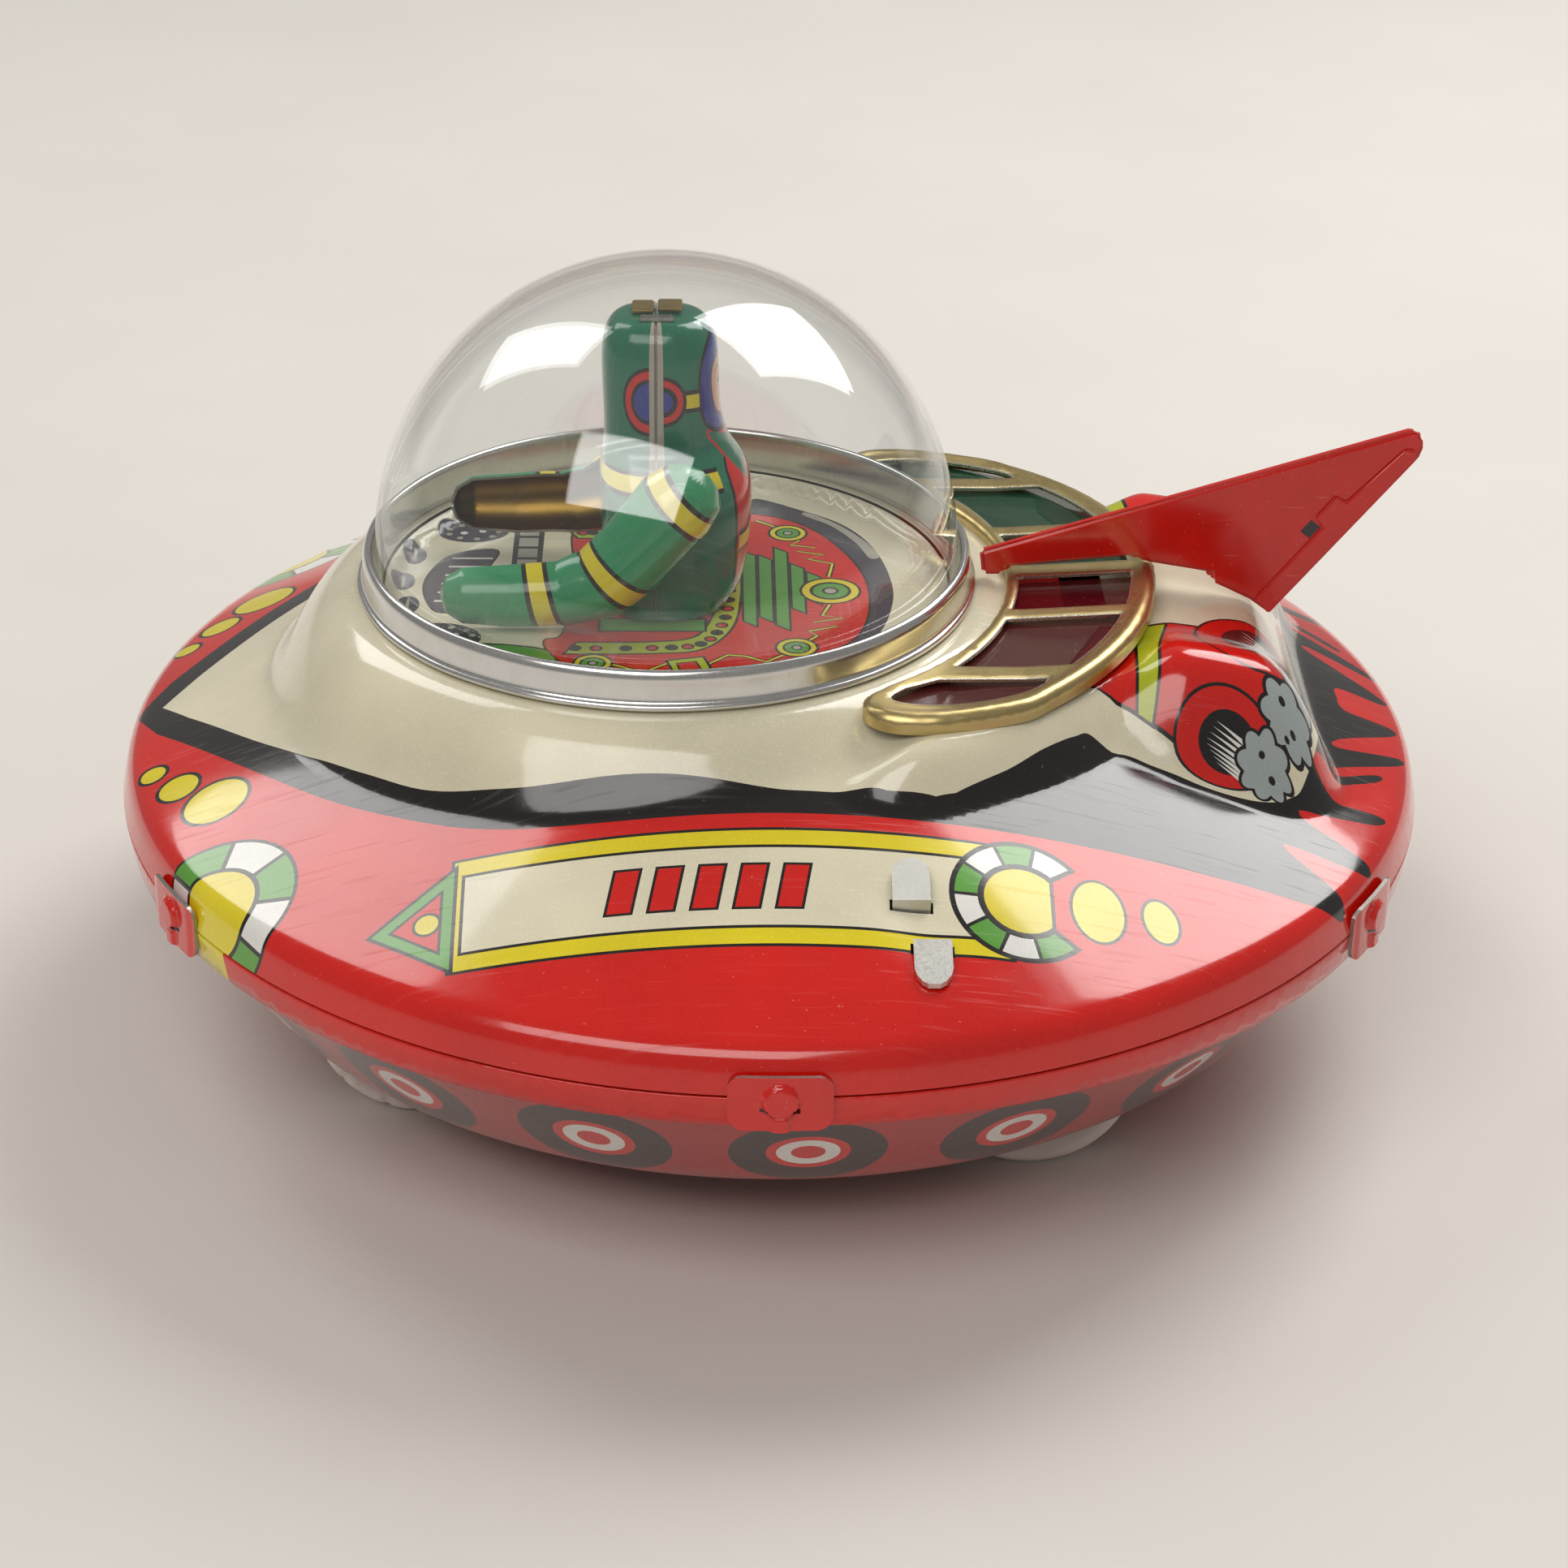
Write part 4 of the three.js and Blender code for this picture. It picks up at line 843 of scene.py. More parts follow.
def lower_shell():
    rim, band, wall = float(BOWL_S[-1]), bowl_length(-4.5), bowl_length(-12.3)
    prints = [(ellipse(0, 0, rim + 1, count=200), "red"),
              (ellipse(0, 0, band, count=240), "dark_red")]
    widen = wall / float(np.interp(wall, BOWL_S, BOWL_R))
    targets = 19
    for i in range(targets):
        turn = 2 * math.pi * (i + 0.5) / targets + math.radians(2.1)
        x, y = wall * math.cos(turn), wall * math.sin(turn)
        for radius, ink in [(9.2, "black"), (4.9, "red"), (3.7, "white"), (2.0, "red")]:
            prints.append((ellipse(x, y, radius, radius * widen, turn), ink))
    for turn in (math.radians(-144), math.radians(144)):
        c, s = math.cos(turn), math.sin(turn)
        lamp = rectangle(band + 0.2, -3.6, rim, 4.2)
        prints.append(([(c * u - s * v, s * u + c * v) for u, v in lamp], "yellow"))
    slots = []
    for node in AXLE_SETS:
        low, high = corners(node)
        slot = rectangle(low.x - 1.5, low.y - 1.5, high.x + 1.5, high.y + 1.5)
        slots.append(unrolled(densified(slot, 2)))
    key_low, key_high = corners("winding_key")
    key_z = (key_low.z + key_high.z) / 2
    slots.append(ellipse((key_low.x + key_high.x) / 2, -bowl_length(key_z - SEAM_Z), 3.3, 3.9))
    bends = [ellipse(0, 0, float(s), count=240) for s in BOWL_S[-9:-1]]
    piece = sheet("printed_lower_shell", ellipse(0, 0, rim, count=360), lower_surface, 1.5,
                  SHELL_TIN, prints, slots, guides=bends)
    stands_for(piece, "hull", "lower_shell")


# ---- rim clips


def clip_surface(turn, out):
    """A clip plate bent round the rim, with a raised round tongue."""
    def surface(u, v):
        raised = 0.75 * (1 - smooth_step(1.75, 2.25, np.hypot(u, v - 0.35)))
        lip = 0.5 * (1 - smooth_step(0.7, 1.25, np.abs(u))) * smooth_step(1.2, 1.9, -v)
        dish = -0.25 * smooth_step(4.2, 5.8, np.abs(u))
        r = out + np.maximum(raised, lip) + dish
        a = turn + u / SEAM_R
        return np.stack([r * np.cos(a), r * np.sin(a), SEAM_Z + v - 0.45], axis=1)
    return surface


def rim_clips():
    """Six rounded plates over the joint, each with a punched tongue and a notch beside it."""
    half_width, half_height, corner = 5.9, 3.45, 1.7
    gap = 0.7                         # from the joint's radius to the clip's face
    outline = []
    for x, y, start in [(1, -1, -90), (1, 1, 0), (-1, 1, 90), (-1, -1, 180)]:
        outline += arc(x * (half_width - corner), y * (half_height - corner), corner,
                       start, start + 90, 6)
    # The black patch beside the tongue, across from the cut notch, is painted shade.
    painted_slit_shade = (rectangle(-2.3, -1.0, -1.35, -0.5), "black")
    notch = rectangle(1.35, -1.2, 2.2, -0.5)
    for i in range(6):
        turn = math.radians(30 + 60 * i)
        piece = sheet(f"rim_clip_plate_{i + 1}", outline, clip_surface(turn, SEAM_R + gap),
                      0.4, SHELL_TIN, [painted_slit_shade], [notch], back="red")
        stands_for(piece, "hull", f"rim_clip_{i + 1}")


# ---- dome, ring and cockpit floor


def dome_ring():
    profile = [(37.0, 0.1), (38.8, 0), (39.05, 0.1), (39.1, 0.35), (39.05, 0.6), (38.8, 0.75),
               (38.55, 0.9), (38.45, 1.15), (38.42, 1.5), (38.3, 3.2), (38.32, 3.5),
               (38.28, 3.95), (38.1, 4.45), (37.8, 4.8), (37.5, 4.88), (37.22, 4.7),
               (37.08, 4.4), (37.0, 4.0)]

    def dented(r, z, angle):
        return r + 0.05 * math.sin(5 * angle) * math.sin(13 * angle + 1), z

    material = metal("spun_aluminium", "e6e5e2", 0.2, (1, 1, 9), "a9a6a0", 0.25)
    piece = turned("spun_dome_ring", profile, (DOME_X, 0, RING_Z), "Z", material, 160, dented,
                   60)
    stands_for(piece, "hull", "dome_ring")


def dome():
    inner_r = DOME_R - 0.7
    outer = arc(0, 0, DOME_R, 0, 90, 28)
    inner = arc(0, 0, inner_r, 90, 0, 28)
    outer[-1], inner[0] = (0, DOME_R), (0, inner_r)
    foot = RING_Z - DOME_Z
    profile = outer + inner + [(inner_r, foot), (DOME_R, foot)]
    material = clear_sheet("clear_styrene")
    piece = turned("moulded_dome", profile, (DOME_X, 0, DOME_Z), "Z", material, 128)
    stands_for(piece, "hull", "dome")


def floor_surface(u, v):
    """The flat floor with its edge drawn up to the shelf."""
    gap = np.hypot(u - DOME_X, v)
    lip = SHELF_Z - 0.15 - FLOOR_Z
    rise = lip * smooth_step(FLOOR_R - 1.6, FLOOR_R - 0.2, gap)
    return np.stack([u, v, FLOOR_Z + rise], axis=1)


def instrument(x, y, r):
    """A ringed dial."""
    return rings(x, y, (r + 0.35, "black"), (r, "yellow"), (r * 0.74, "black"),
                 (r * 0.62, "green"), (r * 0.3, "black"), (r * 0.2, "silver"))


def wire(points):
    """A thin line through the points, printed as a narrow outline with a dark edge."""
    path = [Vector(p) for p in points]

    def strip(half):
        left, right = [], []
        for i, p in enumerate(path):
            ahead = path[min(i + 1, len(path) - 1)] - path[max(i - 1, 0)]
            side = Vector((-ahead.y, ahead.x)).normalized() * half
            left.append(tuple(p + side))
            right.append(tuple(p - side))
        return left + right[::-1]

    half, dark_edge = 0.175, 0.25
    return [(strip(half + dark_edge), "black"), (strip(half), "yellow")]


def cockpit_art():
    """Prints of the cockpit floor: a red deck with its track, and dials on the cream side."""
    crescent = loop([(-2, 28.4), (4, 24.8), (9.4, 20.2), (13, 13.6), (15, 4.7), (15.2, -4),
                     (12.8, -14), (7, -22), (-1, -27.6), (-2.3, -23.2), (2.9, -21.2),
                     (10.5, -13.2), (11.6, 2.5), (6.2, 16.7), (-2, 23)])
    red = loop([(-24.9, 19.5), (-25.2, 5), (-25.9, -12.8), (-28.2, -15.5), (-27.4, -19),
                (-23.9, -23.6), (-14.2, -25.6), (-2.3, -24), (3.2, -21.2), (10.6, -13.2),
                (11.9, 2.5), (6.4, 17), (-1.8, 23.2), (-14, 22.5)], spans=8)
    green = loop([(-38, -17), (-28.4, -18.2), (-26.8, -22.6), (-31, -26), (-36.5, -22.6)])
    shine = loop([(4.5, 23), (8.2, 19.4), (11.3, 13.8), (12.7, 9.5), (14, 10), (12.4, 14.6),
                  (9, 20), (5.2, 23.8)])
    prints = [*outlined(green, "green", 0.4), (crescent, "grey"), *outlined(red, "red", 0.3),
              (shine, "silver")]
    # cream side: dotted ovals, round grille, ladder and small dials
    for x, y, turn in [(-38.8, 17.2, 0.05), (-40.6, -14.2, -0.35)]:
        prints.append((ellipse(x, y, 4.6, 3.4, turn), "grey"))
        prints += [(ellipse(px, py, 0.45, count=10), "silver")
                   for px, py in ellipse(x, y, 3.3, 2.3, count=9)]
        prints += [(ellipse(x + 1.2, y + 0.2, 0.5, count=10), "white"),
                   (ellipse(x - 1.2, y - 0.4, 0.5, count=10), "white")]
    grille = loop([(-43.9, -1.3), (-43.4, 4.4), (-40.8, 9.8), (-35.6, 11.2), (-36.7, 5.2),
                   (-37.2, 0.6), (-38.6, -5.8), (-42, -7.2)])
    prints += outlined(grille, "grey", 0.4)
    for i in range(6):
        y = -4.2 + 2.6 * i
        middle = -40 + 0.12 * (y + 4)
        prints.append((rectangle(middle - 2.6, y - 0.25, middle + 2.6, y + 0.25), "white"))
    prints.append((rectangle(-33.4, 5.2, -29.5, 19.2), "black"))
    for i in range(4):
        y = 5.8 + 3.4 * i
        prints.append((rectangle(-32.7, y, -30.2, y + 2.7), "silver"))
    for x, y in [(-45.9, 9.5), (-46.9, 1.6), (-45.9, -5.4)]:
        prints += [(ellipse(x, y, 1.5, 2.6), "grey"),
                   (rectangle(x - 0.2, y - 1.6, x + 0.2, y + 1.6), "silver")]
    # red side: the track round the seat, steps, instruments and their wires
    track = smooth([(-26.6, 18.6), (-19, 18.8), (-10.5, 18), (-6, 12.5), (-4.2, 6), (-4.2, -4),
                    (-5.4, -12.2), (-9, -17.8), (-15, -19), (-25.6, -19.2)]) + smooth(
        [(-24.2, -16.2), (-15, -16), (-9.8, -14.6), (-7.7, -9.6), (-6.8, -3), (-6.9, 5),
         (-8.3, 11), (-12, 15), (-19, 15.6), (-25, 15.4)])
    prints += outlined(track, "lime", 0.35)
    beads = smooth([(-24.5, -17.7), (-15, -17.6), (-9, -16.4), (-6.4, -11), (-5.5, -3.5),
                    (-5.5, 5), (-7, 11.8), (-11, 16.4), (-19, 17.2), (-24.5, 17)], spans=3)
    for i, (x, y) in enumerate(beads):
        prints += [(ellipse(x, y, 0.85, count=14), "black")]
        if i % 2:
            prints += [(ellipse(x, y, 0.5, count=12), "red")]
    prints += outlined(rectangle(-21.5, -12.6, -8.6, -9.4), "green", 0.35)
    for i, half in enumerate((10.5, 9.2, 11.6, 6.6, 4.0)):
        x = -3.6 + 2.05 * i
        step = [(x, -half + 0.8), (x + 1.5, -half - 0.6), (x + 1.5, half - 0.6), (x, half + 0.8)]
        prints += outlined(step, "green", 0.3)
    for points in ([(-1.8, 21.2), (0.2, 19.6), (2.3, 17.3), (3.7, 14.8), (2.6, 13.4), (5.8, 12.6),
                    (3.4, 11.4), (6.8, 10.4), (4.8, 9), (7.9, 7.6), (7.3, 3.6)],
                   [(7.2, -4.8), (6.2, -8), (8.8, -8.8), (5, -10), (8, -11.2), (4.4, -12.6),
                    (5.4, -14), (2.8, -17.2)],
                   [(2.2, -18.4), (-1, -21.4), (-3.6, -19.8), (-5.7, -19.5), (-8.3, -22.3),
                    (-13, -21.8), (-16, -24.4), (-19.5, -22.4), (-22.2, -21.9)]):
        prints += wire(points)
    for x, y, r in [(2.3, 17.2, 2.3), (7.4, -0.7, 3.6), (2.8, -17.3, 2.4), (-22.2, -21.9, 2.2)]:
        prints += instrument(x, y, r)
    prints += outlined([(-13, -21.2), (-8.8, -20.2), (-7.8, -23.7), (-12, -24.9)], "lime", 0.35)
    prints += outlined([(-11.8, -22), (-9.7, -21.5), (-9.1, -23.4), (-11.4, -23.9)], "red", 0.25)
    return prints


def cockpit_floor():
    piece = sheet("printed_cockpit_floor", ellipse(DOME_X, 0, FLOOR_R, count=160), floor_surface,
                  1.0, 0.4, cockpit_art(), ground="cream")
    stands_for(piece, "hull", "cockpit_floor")


# ---- pilot

PILOT_SEAM_X = -14.6
# height above the floor, back x, front x, half width
PILOT_SECTIONS = np.array([
    [0.3, -20.6, -5.5, 10.4], [4, -21, -3.6, 10.8], [11, -21.5, -2.9, 10.9],
    [15, -21.6, -3.0, 10.8], [17.5, -21.5, -3.8, 9.8], [19.5, -21.3, -5, 8.2],
    [21.5, -21, -6, 6.9], [25, -21, -6.8, 6.5], [31, -21.2, -7.1, 6.7], [34, -21, -7.4, 6.4],
    [35.8, -20.4, -8.2, 5.7], [36.9, -19.2, -9.4, 4.5], [37.3, -17.4, -11.4, 2.6],
    [37.45, -14.9, -14.3, 0.3]])
PILOT_ROUND = 8.6                 # radius that turns an angle into a flat length


def pilot_profile():
    """Length up the pilot's side, with the smoothed sections there."""
    samples = []
    rows = PILOT_SECTIONS
    for i in range(len(rows) - 1):
        nearby = [rows[min(max(k, 0), len(rows) - 1)] for k in (i - 1, i, i + 1, i + 2)]
        samples += [between(*nearby, t) for t in np.linspace(0, 1, 8, endpoint=False)]
    samples.append(rows[-1])
    samples = np.array(samples)
    steps = np.hypot(np.diff(samples[:, 0]), np.diff(samples[:, 3]))
    return np.concatenate([[0.3], 0.3 + np.cumsum(steps)]), samples


PILOT_S, PILOT_ROWS = pilot_profile()


def pilot_surface(front):
    """One half of the pilot's body, a rounded box that follows the sections."""
    squareness = 0.78

    def surface(u, v):
        height, back, face, half = (np.interp(v, PILOT_S, PILOT_ROWS[:, k]) for k in range(4))
        angle = u / PILOT_ROUND + (0 if front else math.pi)
        cos, sin = np.cos(angle), np.sin(angle)
        across = np.sign(cos) * np.abs(cos) ** squareness
        wide = np.sign(sin) * np.abs(sin) ** squareness
        reach = np.where(across > 0, face - PILOT_SEAM_X, PILOT_SEAM_X - back)
        x = PILOT_SEAM_X + (0.16 if front else -0.16) + reach * across
        crease = 0.35 * np.exp(-((v - 22.4) / 1.5) ** 2)
        return np.stack([x, (half - crease) * wide, FLOOR_Z + height], axis=1)
    return surface


def pilot_shells():
    """The two halves, printed in plans of angle times PILOT_ROUND by length up the side."""
    span = PILOT_ROUND * math.pi / 2
    top = float(PILOT_S[-1]) - 0.15
    outline = rectangle(-span, 0.3, span, top)
    belt = (17.4, 19.6)
    ear_z = 29.2

    def band(u0, u1, v0, v1, ink="yellow"):
        return [(rectangle(u0, v0 - 0.6, u1, v1 + 0.6), "black"), (rectangle(u0, v0, u1, v1), ink)]

    front = band(-span - 1, -7, *belt) + band(7, span + 1, *belt)
    vest = smooth([(-4.6, 0), (-5.2, 8), (-5.4, 17), (-4.6, 20.5), (-2, 23), (0, 23.4), (2, 23),
                   (4.6, 20.5), (5.4, 17), (5.2, 8), (4.6, 0)])
    front += outlined(vest, "red", 0.5)
    front += band(-4.9, 4.9, 8.5, 10.3)
    collar = loop([(-6.4, 24.6), (0, 23.2), (6.4, 24.6), (4.4, 21.6), (1.5, 16.6), (0, 18.4),
                   (-1.5, 16.6), (-4.4, 21.6)])
    front += outlined(collar, "suit", 0.45, "red")
    visor = loop([(-7.6, 29.4), (-6.6, 34.2), (-3, 36.4), (3, 36.4), (6.6, 34.2), (7.6, 29.4),
                  (6.4, 25.8), (3, 24.6), (-3, 24.6), (-6.4, 25.8)])
    front += outlined(visor, "blue", 0.6)
    face = loop([(-4.8, 30.2), (-4, 33), (0, 34), (4, 33), (4.8, 30.2), (3.4, 27), (0, 26),
                 (-3.4, 27)])
    front += outlined(face, "skin", 0.25)
    for side in (-1, 1):
        front += band(*sorted((side * 7.9, side * (span - 1.2))), 28.2, 30)
        brow = loop([(side * 1.1, 32), (side * 2.1, 32.5), (side * 3.1, 32.1),
                     (side * 2.1, 32.2)])
        front += [(ellipse(side * 2, 30.6, 0.55, 0.42, count=14), "black"),
                  *rings(side * span, ear_z, (3.4, "black"), (2.9, "red"), (2.1, "black"),
                         (1.5, "blue")), (brow, "black")]
    front += [(loop([(-1.3, 27.7), (0, 27.3), (1.3, 27.7), (0, 27.6)]), "dark_red")]
    lips = [(rectangle(u0, 20, u1, top + 1), "silver")
            for u0, u1 in ((span - 0.45, span + 1), (-span - 1, 0.45 - span))]
    piece = sheet("printed_pilot_front", outline, pilot_surface(True), 0.6, THIN_TIN,
                  front + lips, ground="suit")
    stands_for(piece, "hull", "pilot_front_half")

    rear = band(-span - 1, span + 1, *belt)
    for side in (-1, 1):
        rear += rings(side * span, ear_z, (4.6, "black"), (4.1, "red"), (3.1, "black"),
                      (2.6, "blue"))
    piece = sheet("printed_pilot_back", outline, pilot_surface(False), 0.6, THIN_TIN,
                  rear + lips, ground="suit")
    half = [(float(row[3]) - 0.45, FLOOR_Z + float(row[0])) for row in PILOT_ROWS[:-16:4]]
    flange = plate("seam_flange", half + [(-y, z) for y, z in reversed(half)],
                   PILOT_SEAM_X - 0.1, PILOT_SEAM_X + 0.1, "X", INKS["silver"], 0.0)
    joined(piece, flange)
    head_tabs(piece)
    stands_for(piece, "hull", "pilot_back_half")


def head_tabs(shell):
    """Bare tabs folded over the top of the head, which hold the two halves together."""
    top = FLOOR_Z + PILOT_ROWS[-1, 0]
    brass = metal("tab_brass", "b39a5a", 0.35)
    bare = metal("tab_bare", "a9a9a6", 0.3)
    tabs = []
    for x0, x1, y0, y1, lift, material in [
            (-17.6, -14.9, -1.4, 2.2, 0.1, brass), (-14.4, -11.4, -1.2, 2.2, 0.25, brass),
            (-16.6, -12.4, -3.4, -1.9, -0.25, bare)]:
        outline = rectangle(x0, y0, x1, y1)
        tabs.append(plate("head_tab", outline, top + lift, top + lift + 0.45, "Z", material, 0.15))
    joined(shell, *tabs)


# x, height above the joint, radius, lean in degrees
ARM_STATIONS = np.array([
    [-8.4, 44.6, 0.3, 50], [-8.9, 44.1, 2.6, 50], [-9.8, 43, 4.3, 50], [-12, 40.6, 5.2, 50],
    [-17.5, 33.6, 5, 47], [-21.5, 30, 4.8, 32], [-26, 28.6, 4.2, 12], [-33, 28.2, 4, 2],
    [-38.5, 28.2, 3.6, 0], [-40.6, 28.2, 2.3, 0], [-41.3, 28.2, 0.3, 0]])
ARM_OPEN_Y = 11.6                 # distance of the arms' open inner side from the middle
ARM_ROUND = 4.5                   # radius that turns an angle into a flat length


def arm_surface(side):
    """The arm's half round tin, with its length along the arm."""
    rows = ARM_STATIONS
    lengths = np.concatenate([[0], np.cumsum(np.hypot(np.diff(rows[:, 0]), np.diff(rows[:, 1])))])

    def surface(u, v):
        x, z, r, lean = (np.interp(u, lengths, rows[:, k]) for k in range(4))
        lean = np.radians(lean + 90)
        lift = 2 * smooth_step(12, 30, -x) if side > 0 else 0
        a = -side * v / ARM_ROUND + math.pi / 2
        across = r * np.cos(a)
        return np.stack([x + across * np.cos(lean), side * (ARM_OPEN_Y + 1.05 * r * np.sin(a)),
                         SEAM_Z + z + lift + across * np.sin(lean)], axis=1)
    return surface, float(lengths[-1])


def arms():
    for side, name in ((-1, "near"), (1, "far")):
        surface, length = arm_surface(side)
        half = ARM_ROUND * math.pi / 2
        outline = rectangle(0.05, -half, length - 0.05, half)
        prints = []
        for at, slant in [(4.6, -0.9), (17.4, 1.2), (27, 0.6)]:
            for grow, ink in [(0.65, "black"), (0, "yellow")]:
                lead, trail = at - 1.1 - grow, at + 1.1 + grow
                prints.append(([(lead + slant, -half - 1), (trail + slant, -half - 1),
                                (trail - slant, half + 1), (lead - slant, half + 1)], ink))
        piece = sheet(f"printed_{name}_arm", outline, surface, 0.55, THIN_TIN, prints,
                      ground="arm")
        stands_for(piece, "hull", f"pilot_{name}_arm")


# ---- canopy


def canopy_outline():
    """The canopy's edge, from the middle of its rear round one corner and back."""
    rear = arc(CANOPY_X, 0, CANOPY_R, 0, 47, 24)
    corner = smooth([(33.7, 34), (30.5, 37), (26, 39), (21.5, 40.4), (18.3, 41), (14.8, 40.9),
                     (12, 39.8), (10.4, 37.6), (10.6, 35), (13, 31.9)])
    inner = arc(-9.35, 0, 39, 54, 0, 20)
    half = rear + corner[3:-3] + inner
    return half[:-1] + [(x, -y) for x, y in reversed(half[1:])]


def window_openings():
    """Outlines of the six windows."""
    def inner(y):
        return DOME_X + math.sqrt(44.5 ** 2 - y ** 2)

    def outer(y):
        return CANOPY_X + math.sqrt(43.3 ** 2 - y ** 2)

    openings = []
    for low, high in ((1.8, 11.2), (14, 27)):
        ys = [low + (high - low) * i / 6 for i in range(7)]
        openings.append([(inner(y), y) for y in ys] + [(outer(y), y) for y in reversed(ys)])
    corner = smooth([(19.5, 30.6), (32.6, 30.4)], spans=4) + smooth(
        [(32.2, 31.6), (29.5, 33.8), (24.5, 36.1), (19.5, 37), (15.4, 36.6), (13.6, 35.2),
         (15.4, 32.8)], spans=4)
    openings.append(corner)
    return [o for opening in openings for o in (opening, [(x, -y) for x, y in opening])]


def canopy():
    outline = canopy_outline()
    full = grown(outline, 1.7)
    bend = 0.9                        # radius of the turned down edge
    openings = window_openings()

    def surface(u, v):
        points = np.stack([u, v], axis=1)
        gap, nearest = distance_to(points, outline)
        within = inside(points, outline)
        depth = np.where(within, gap, -gap)
        turn = np.clip((bend - depth) / bend, 0, math.pi / 2)
        inset = np.where(depth >= bend, depth, bend - bend * np.sin(turn))
        drop = bend * (1 - np.cos(turn)) + np.maximum(0, bend * (1 - math.pi / 2) - depth)
        inward = np.where(within[:, None], points - nearest, nearest - points)
        inward /= np.maximum(1e-6, np.linalg.norm(inward, axis=1))[:, None]
        x, y = (nearest + inward * inset[:, None]).T
        base = SEAM_Z + 26.4 + 0.06 * np.maximum(0, x - 30) - 0.0003 * y ** 2
        outer_edge = smooth_step(44, 47, np.hypot(x - DOME_X, y))
        bead = 0.3 * outer_edge * np.exp(-((depth - 1.3) / 0.8) ** 2)
        lump = 0.05 * np.sin(1.9 * x) * np.sin(1.3 * y + 1) * np.exp(-((depth + 0.2) / 1.0) ** 2)
        window_gap = np.full(len(u), np.inf)
        for opening in openings:
            window_gap = np.minimum(window_gap, distance_to(points, opening)[0])
        turned_down = 0.15 * np.exp(-(window_gap / 0.25) ** 2)
        return np.stack([x, y, base + bead + lump - np.minimum(drop, 2.2) - turned_down], axis=1)

    worn = [(grown(opening, 0.28), "gold_edge") for opening in openings]
    bends = [grown(outline, inset) for inset in (0.0, -0.45, -0.9)]
    piece = sheet("gold_canopy_frame", full, surface, 0.7, THIN_TIN, worn, openings, "gold",
                  "gold", "gold_edge", 0.15, bends)
    stands_for(piece, "hull", "canopy_frame")


# ---- tail fin

FIN = [(26.6, 26.1), (29.3, 26.1), (29.7, 27.2), (45.9, 28.8), (46.8, 28.2), (47.7, 27.9),
       (54.1, 26.8), (55.6, 26.5), (55.9, 25.2), (60.8, 22.8), (63.5, 20.8), (80.8, 42.4),
       (81.2, 43.6), (81.1, 45.1), (80.4, 45.9), (79.2, 46), (26.2, 29.3)]


def tail_fin():
    paint = enamel("fin_enamel", "d01a10", 0.16, "e8a08c", 0.2)
    side = [(x, z + SEAM_Z) for x, z in FIN]
    fin = plate("folded_tail_fin", side, -0.85, 0.85, "Y", paint, 0.55)
    along = Vector((80.8 - 63.5, 42.4 - 20.8)).normalized()
    across = Vector((-along.y, along.x))
    foot = Vector((63.4, 20.9 + SEAM_Z))

    def on_rear_edge(name, points, low, high, material, bevel):
        """A thin plate from points along and across the fin's rear edge."""
        outline = [tuple(foot + along * s + across * t) for s, t in points]
        return plate(name, outline, low, high, "Y", material, bevel)

    near = on_rear_edge("fin_hem", [
        (0.1, 0.15), (27.4, 0.15), (28.2, 1.2), (27.4, 2.2), (17.6, 3.0), (17.4, 4.6), (13.6, 4.6),
        (13.2, 3.0), (0.4, 2.9)], -1.3, -0.75, paint, 0.2)
    far = on_rear_edge("fin_hem", [(0.2, 0.15), (27.4, 0.15), (27, 2.2), (0.4, 2.9)],
                       0.75, 1.3, paint, 0.2)
    # A thin black sheet on the fin's near side, beside the hem's tab: painted shadow in the gap
    # there.
    notch = on_rear_edge("painted_shadow_beside_tab", rectangle(11, 3.2, 13, 4.7), -0.9, -0.8, INKS["black"], 0.0)
    joined(fin, near, far, notch)
    stands_for(fin, "hull", "tail_fin")


# ---- wheels


def wheels():
    """Four dished wheels with rolled rims. The front pair is slightly crinkled."""
    white = enamel("wheel_enamel", "f0e6de", 0.3, "8a857b", 0.4)
    for node, body in AXLE_SETS.items():
        low, high = corners(node)
        side = 1 if (low.y + high.y) > 0 else -1
        centre = ((low.x + high.x) / 2, (low.y + high.y) / 2, (low.z + high.z) / 2)
        r = (high.x - low.x) / 2 - 0.05
        profile = [
            (1.6, -2), (2.4, -2), (2.6, -1.8), (2.7, 0), (3.4, 0.4), (r - 4.2, 0.35),
            (r - 2.8, 0.9), (r - 1.9, 1.55), (r - 0.9, 1.5), (r - 0.6, 1.1), (r - 0.55, -2.2),
            (r - 0.3, -2.45), (r - 0.05, -2.3), (r, -1.9), (r, 1.2), (r - 0.35, 2.05),
            (r - 1.0, 2.42), (r - 1.7, 2.2), (r - 2.6, 1.6), (r - 3.8, 1.0), (r - 6, 0.85),
            (4.2, 0.95), (3.2, 1.5), (2.2, 1.6), (1.6, 1.45)]
        crinkled = node.startswith("front")

        def shape(radius, along, angle):
            if crinkled and radius > r - 4:
                fold = 0.16 * math.sin(23 * angle) + 0.1 * math.sin(37 * angle + 1)
                share = (radius - r + 4) / 4
                return radius - abs(fold) * share, side * (along + fold * share)
            return radius, side * along

        piece = turned(f"pressed_{node}", profile, centre, "Y", white, 144, shape, 50)
        stands_for(piece, body, node)


# ---- key and carried-over parts


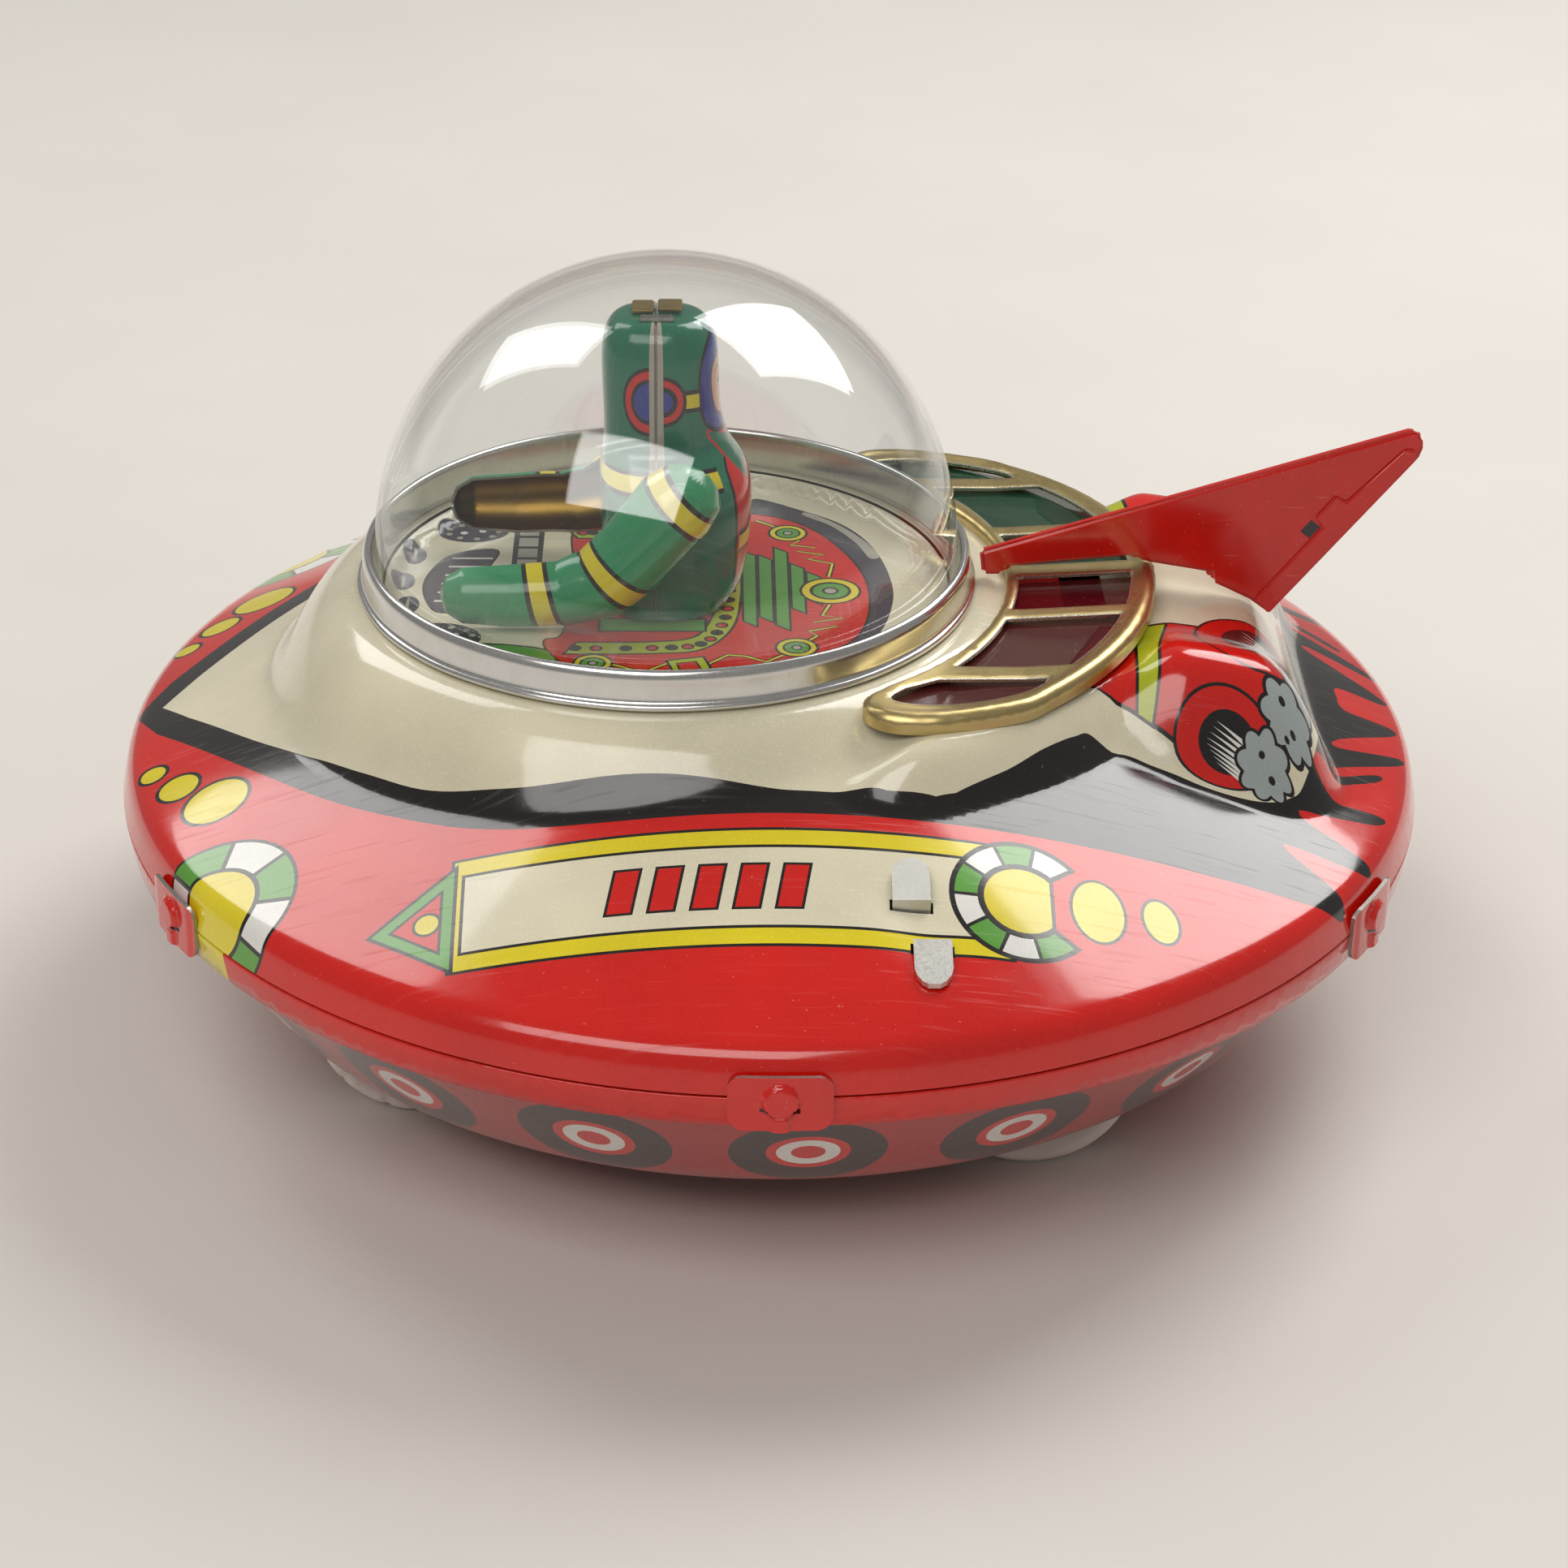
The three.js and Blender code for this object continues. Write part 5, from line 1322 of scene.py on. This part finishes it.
def winding_key():
    low, high = corners("winding_key")
    x, z = (low.x + high.x) / 2, (low.z + high.z) / 2
    material = metal("key_tin", "b5b3ad", 0.3, amount=0.4)
    wing = [(-1.9, 80.4), (-5.2, 79.9), (-7.9, 81.2), (-8.35, 83.4), (-7, 85.7), (-4.4, 86.1),
            (-2.2, 85.4)]
    loops = loop(wing + [(0, 84.6)] + [(-u, v) for u, v in reversed(wing)], spans=5)
    key = plate("stamped_winding_key", [(x + u, v) for u, v in loops], z - 0.65, z + 0.65, "Z",
                material, 0.3)
    sleeve = turned("key_sleeve", [(1.75, 71.6), (2.5, 71.6), (2.65, 71.8), (2.65, 80.6),
                                   (2.3, 81.4), (1.75, 81.5)], (x, 0, z), "Y", material, 48)
    joined(key, sleeve)
    stands_for(key, "key_set", "winding_key")


def carried_over():
    """Finishes for the frame's own parts, which keep their shape."""
    steel = metal("drawn_steel", "9b9c9e", 0.28)
    brass = metal("stamped_brass", "c09a4c", 0.28)
    plates = metal("plated_sheet", "a9a8a3", 0.35, (12, 1, 1))
    spring = metal("blued_spring", "3d4250", 0.3)
    strap = metal("bare_strap", "e4e3dc", 0.38, amount=0.08)
    grit = Finish("bonded_grit", 0.85)
    grit.colour(grit.blend(grit.noise(0.4), linear("3b3838"), linear("6a6462")))
    grit.bump(grit.noise(0.5, 4), 0.15)
    holder = enamel("holder_enamel", "e0140f", 0.3)
    holder.node_tree.nodes["Principled BSDF"].inputs["Specular IOR Level"].default_value = 0.4
    chosen = {
        "red_window_film": film("red_film", "5a0d18", 0.5),
        "green_window_film": film("green_film", "0f4a34", 0.55),
        "spark_wheel": grit.material, "flint": grit.material, "flint_holder": holder,
        "mainspring": spring}
    for node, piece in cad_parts.items():
        if node in chosen:
            material = chosen[node]
        elif node.endswith("_wheel") or node == "rear_axle_pinion":
            material = brass
        elif node.startswith("motor_plate"):
            material = plates
        elif node.startswith("shell_bracket") or node == "front_axle_bracket":
            material = strap
        else:
            material = steel
        for slot in piece.material_slots:
            slot.material = material


# ---- floor, light and camera


def studio():
    """A pale paper floor, two softboxes behind the toy and a wide fill in front."""
    floor_mesh = bpy.data.meshes.new("studio_floor")
    square = rectangle(-2.5, -2.5, 2.5, 2.5)
    floor_mesh.from_pydata([(x, y, 0) for x, y in square], [], [(0, 1, 2, 3)])
    paper = Finish("pale_paper", 0.6)
    paper.colour(paper.blend(paper.noise(60), linear("d9d4cd"), linear("e2ded8")))
    paper.bump(paper.noise(0.8), 0.03)
    floor_mesh.materials.append(paper.material)
    placed("studio_floor", floor_mesh)

    world = bpy.data.worlds.new("studio")
    world.use_nodes = True
    background = world.node_tree.nodes["Background"]
    background.inputs["Color"].default_value = [0.62, 0.6, 0.58, 1]
    background.inputs["Strength"].default_value = 0.4
    bpy.context.scene.world = world

    def softbox(name, place, width, height, watts, colour):
        light = bpy.data.lights.new(name, "AREA")
        light.shape = "RECTANGLE"
        light.size, light.size_y = width, height
        light.energy = watts
        light.color = colour
        lamp = placed(name, light)
        lamp.location = place
        lamp.rotation_euler = (centre - Vector(place)).to_track_quat("-Z", "Y").to_euler()

    centre = Vector((0, 0, 0.04))
    softbox("softbox_right", (0.36, 0.42, 0.62), 0.42, 0.5, 3.9, (1, 0.99, 0.97))
    softbox("softbox_left", (-0.44, 0.4, 0.62), 0.26, 0.5, 1.5, (1, 0.99, 0.97))
    softbox("fill_front", (-0.3, -0.75, 0.95), 0.95, 0.6, 6.2, (1, 0.98, 0.95))


def camera():
    """The photo's view: slightly left of the near side, looking down on the saucer."""
    target = Vector((1.77, -4.36, SEAM_Z - 2.01)) * MM
    distance = 0.4986
    azimuth, elevation, roll = (math.radians(a) for a in (-1.36, 27.74, 0.81))
    away = Vector((math.sin(azimuth) * math.cos(elevation),
                   -math.cos(azimuth) * math.cos(elevation), math.sin(elevation)))
    data = bpy.data.cameras.new("camera")
    data.sensor_width = 36
    data.lens = 88.58
    data.clip_start = 0.01
    view = placed("camera", data)
    view.location = target + away * distance
    view.rotation_mode = "QUATERNION"
    turn = Matrix.Rotation(roll, 3, "Z").to_quaternion()
    view.rotation_quaternion = (-away).to_track_quat("-Z", "Y") @ turn
    bpy.context.scene.camera = view


bpy.context.scene.view_settings.view_transform = "Standard"
for build in (studio, camera, upper_shell, lower_shell, rim_clips, dome_ring, dome, cockpit_floor,
              pilot_shells, arms, canopy, tail_fin, wheels, winding_key, carried_over):
    build()
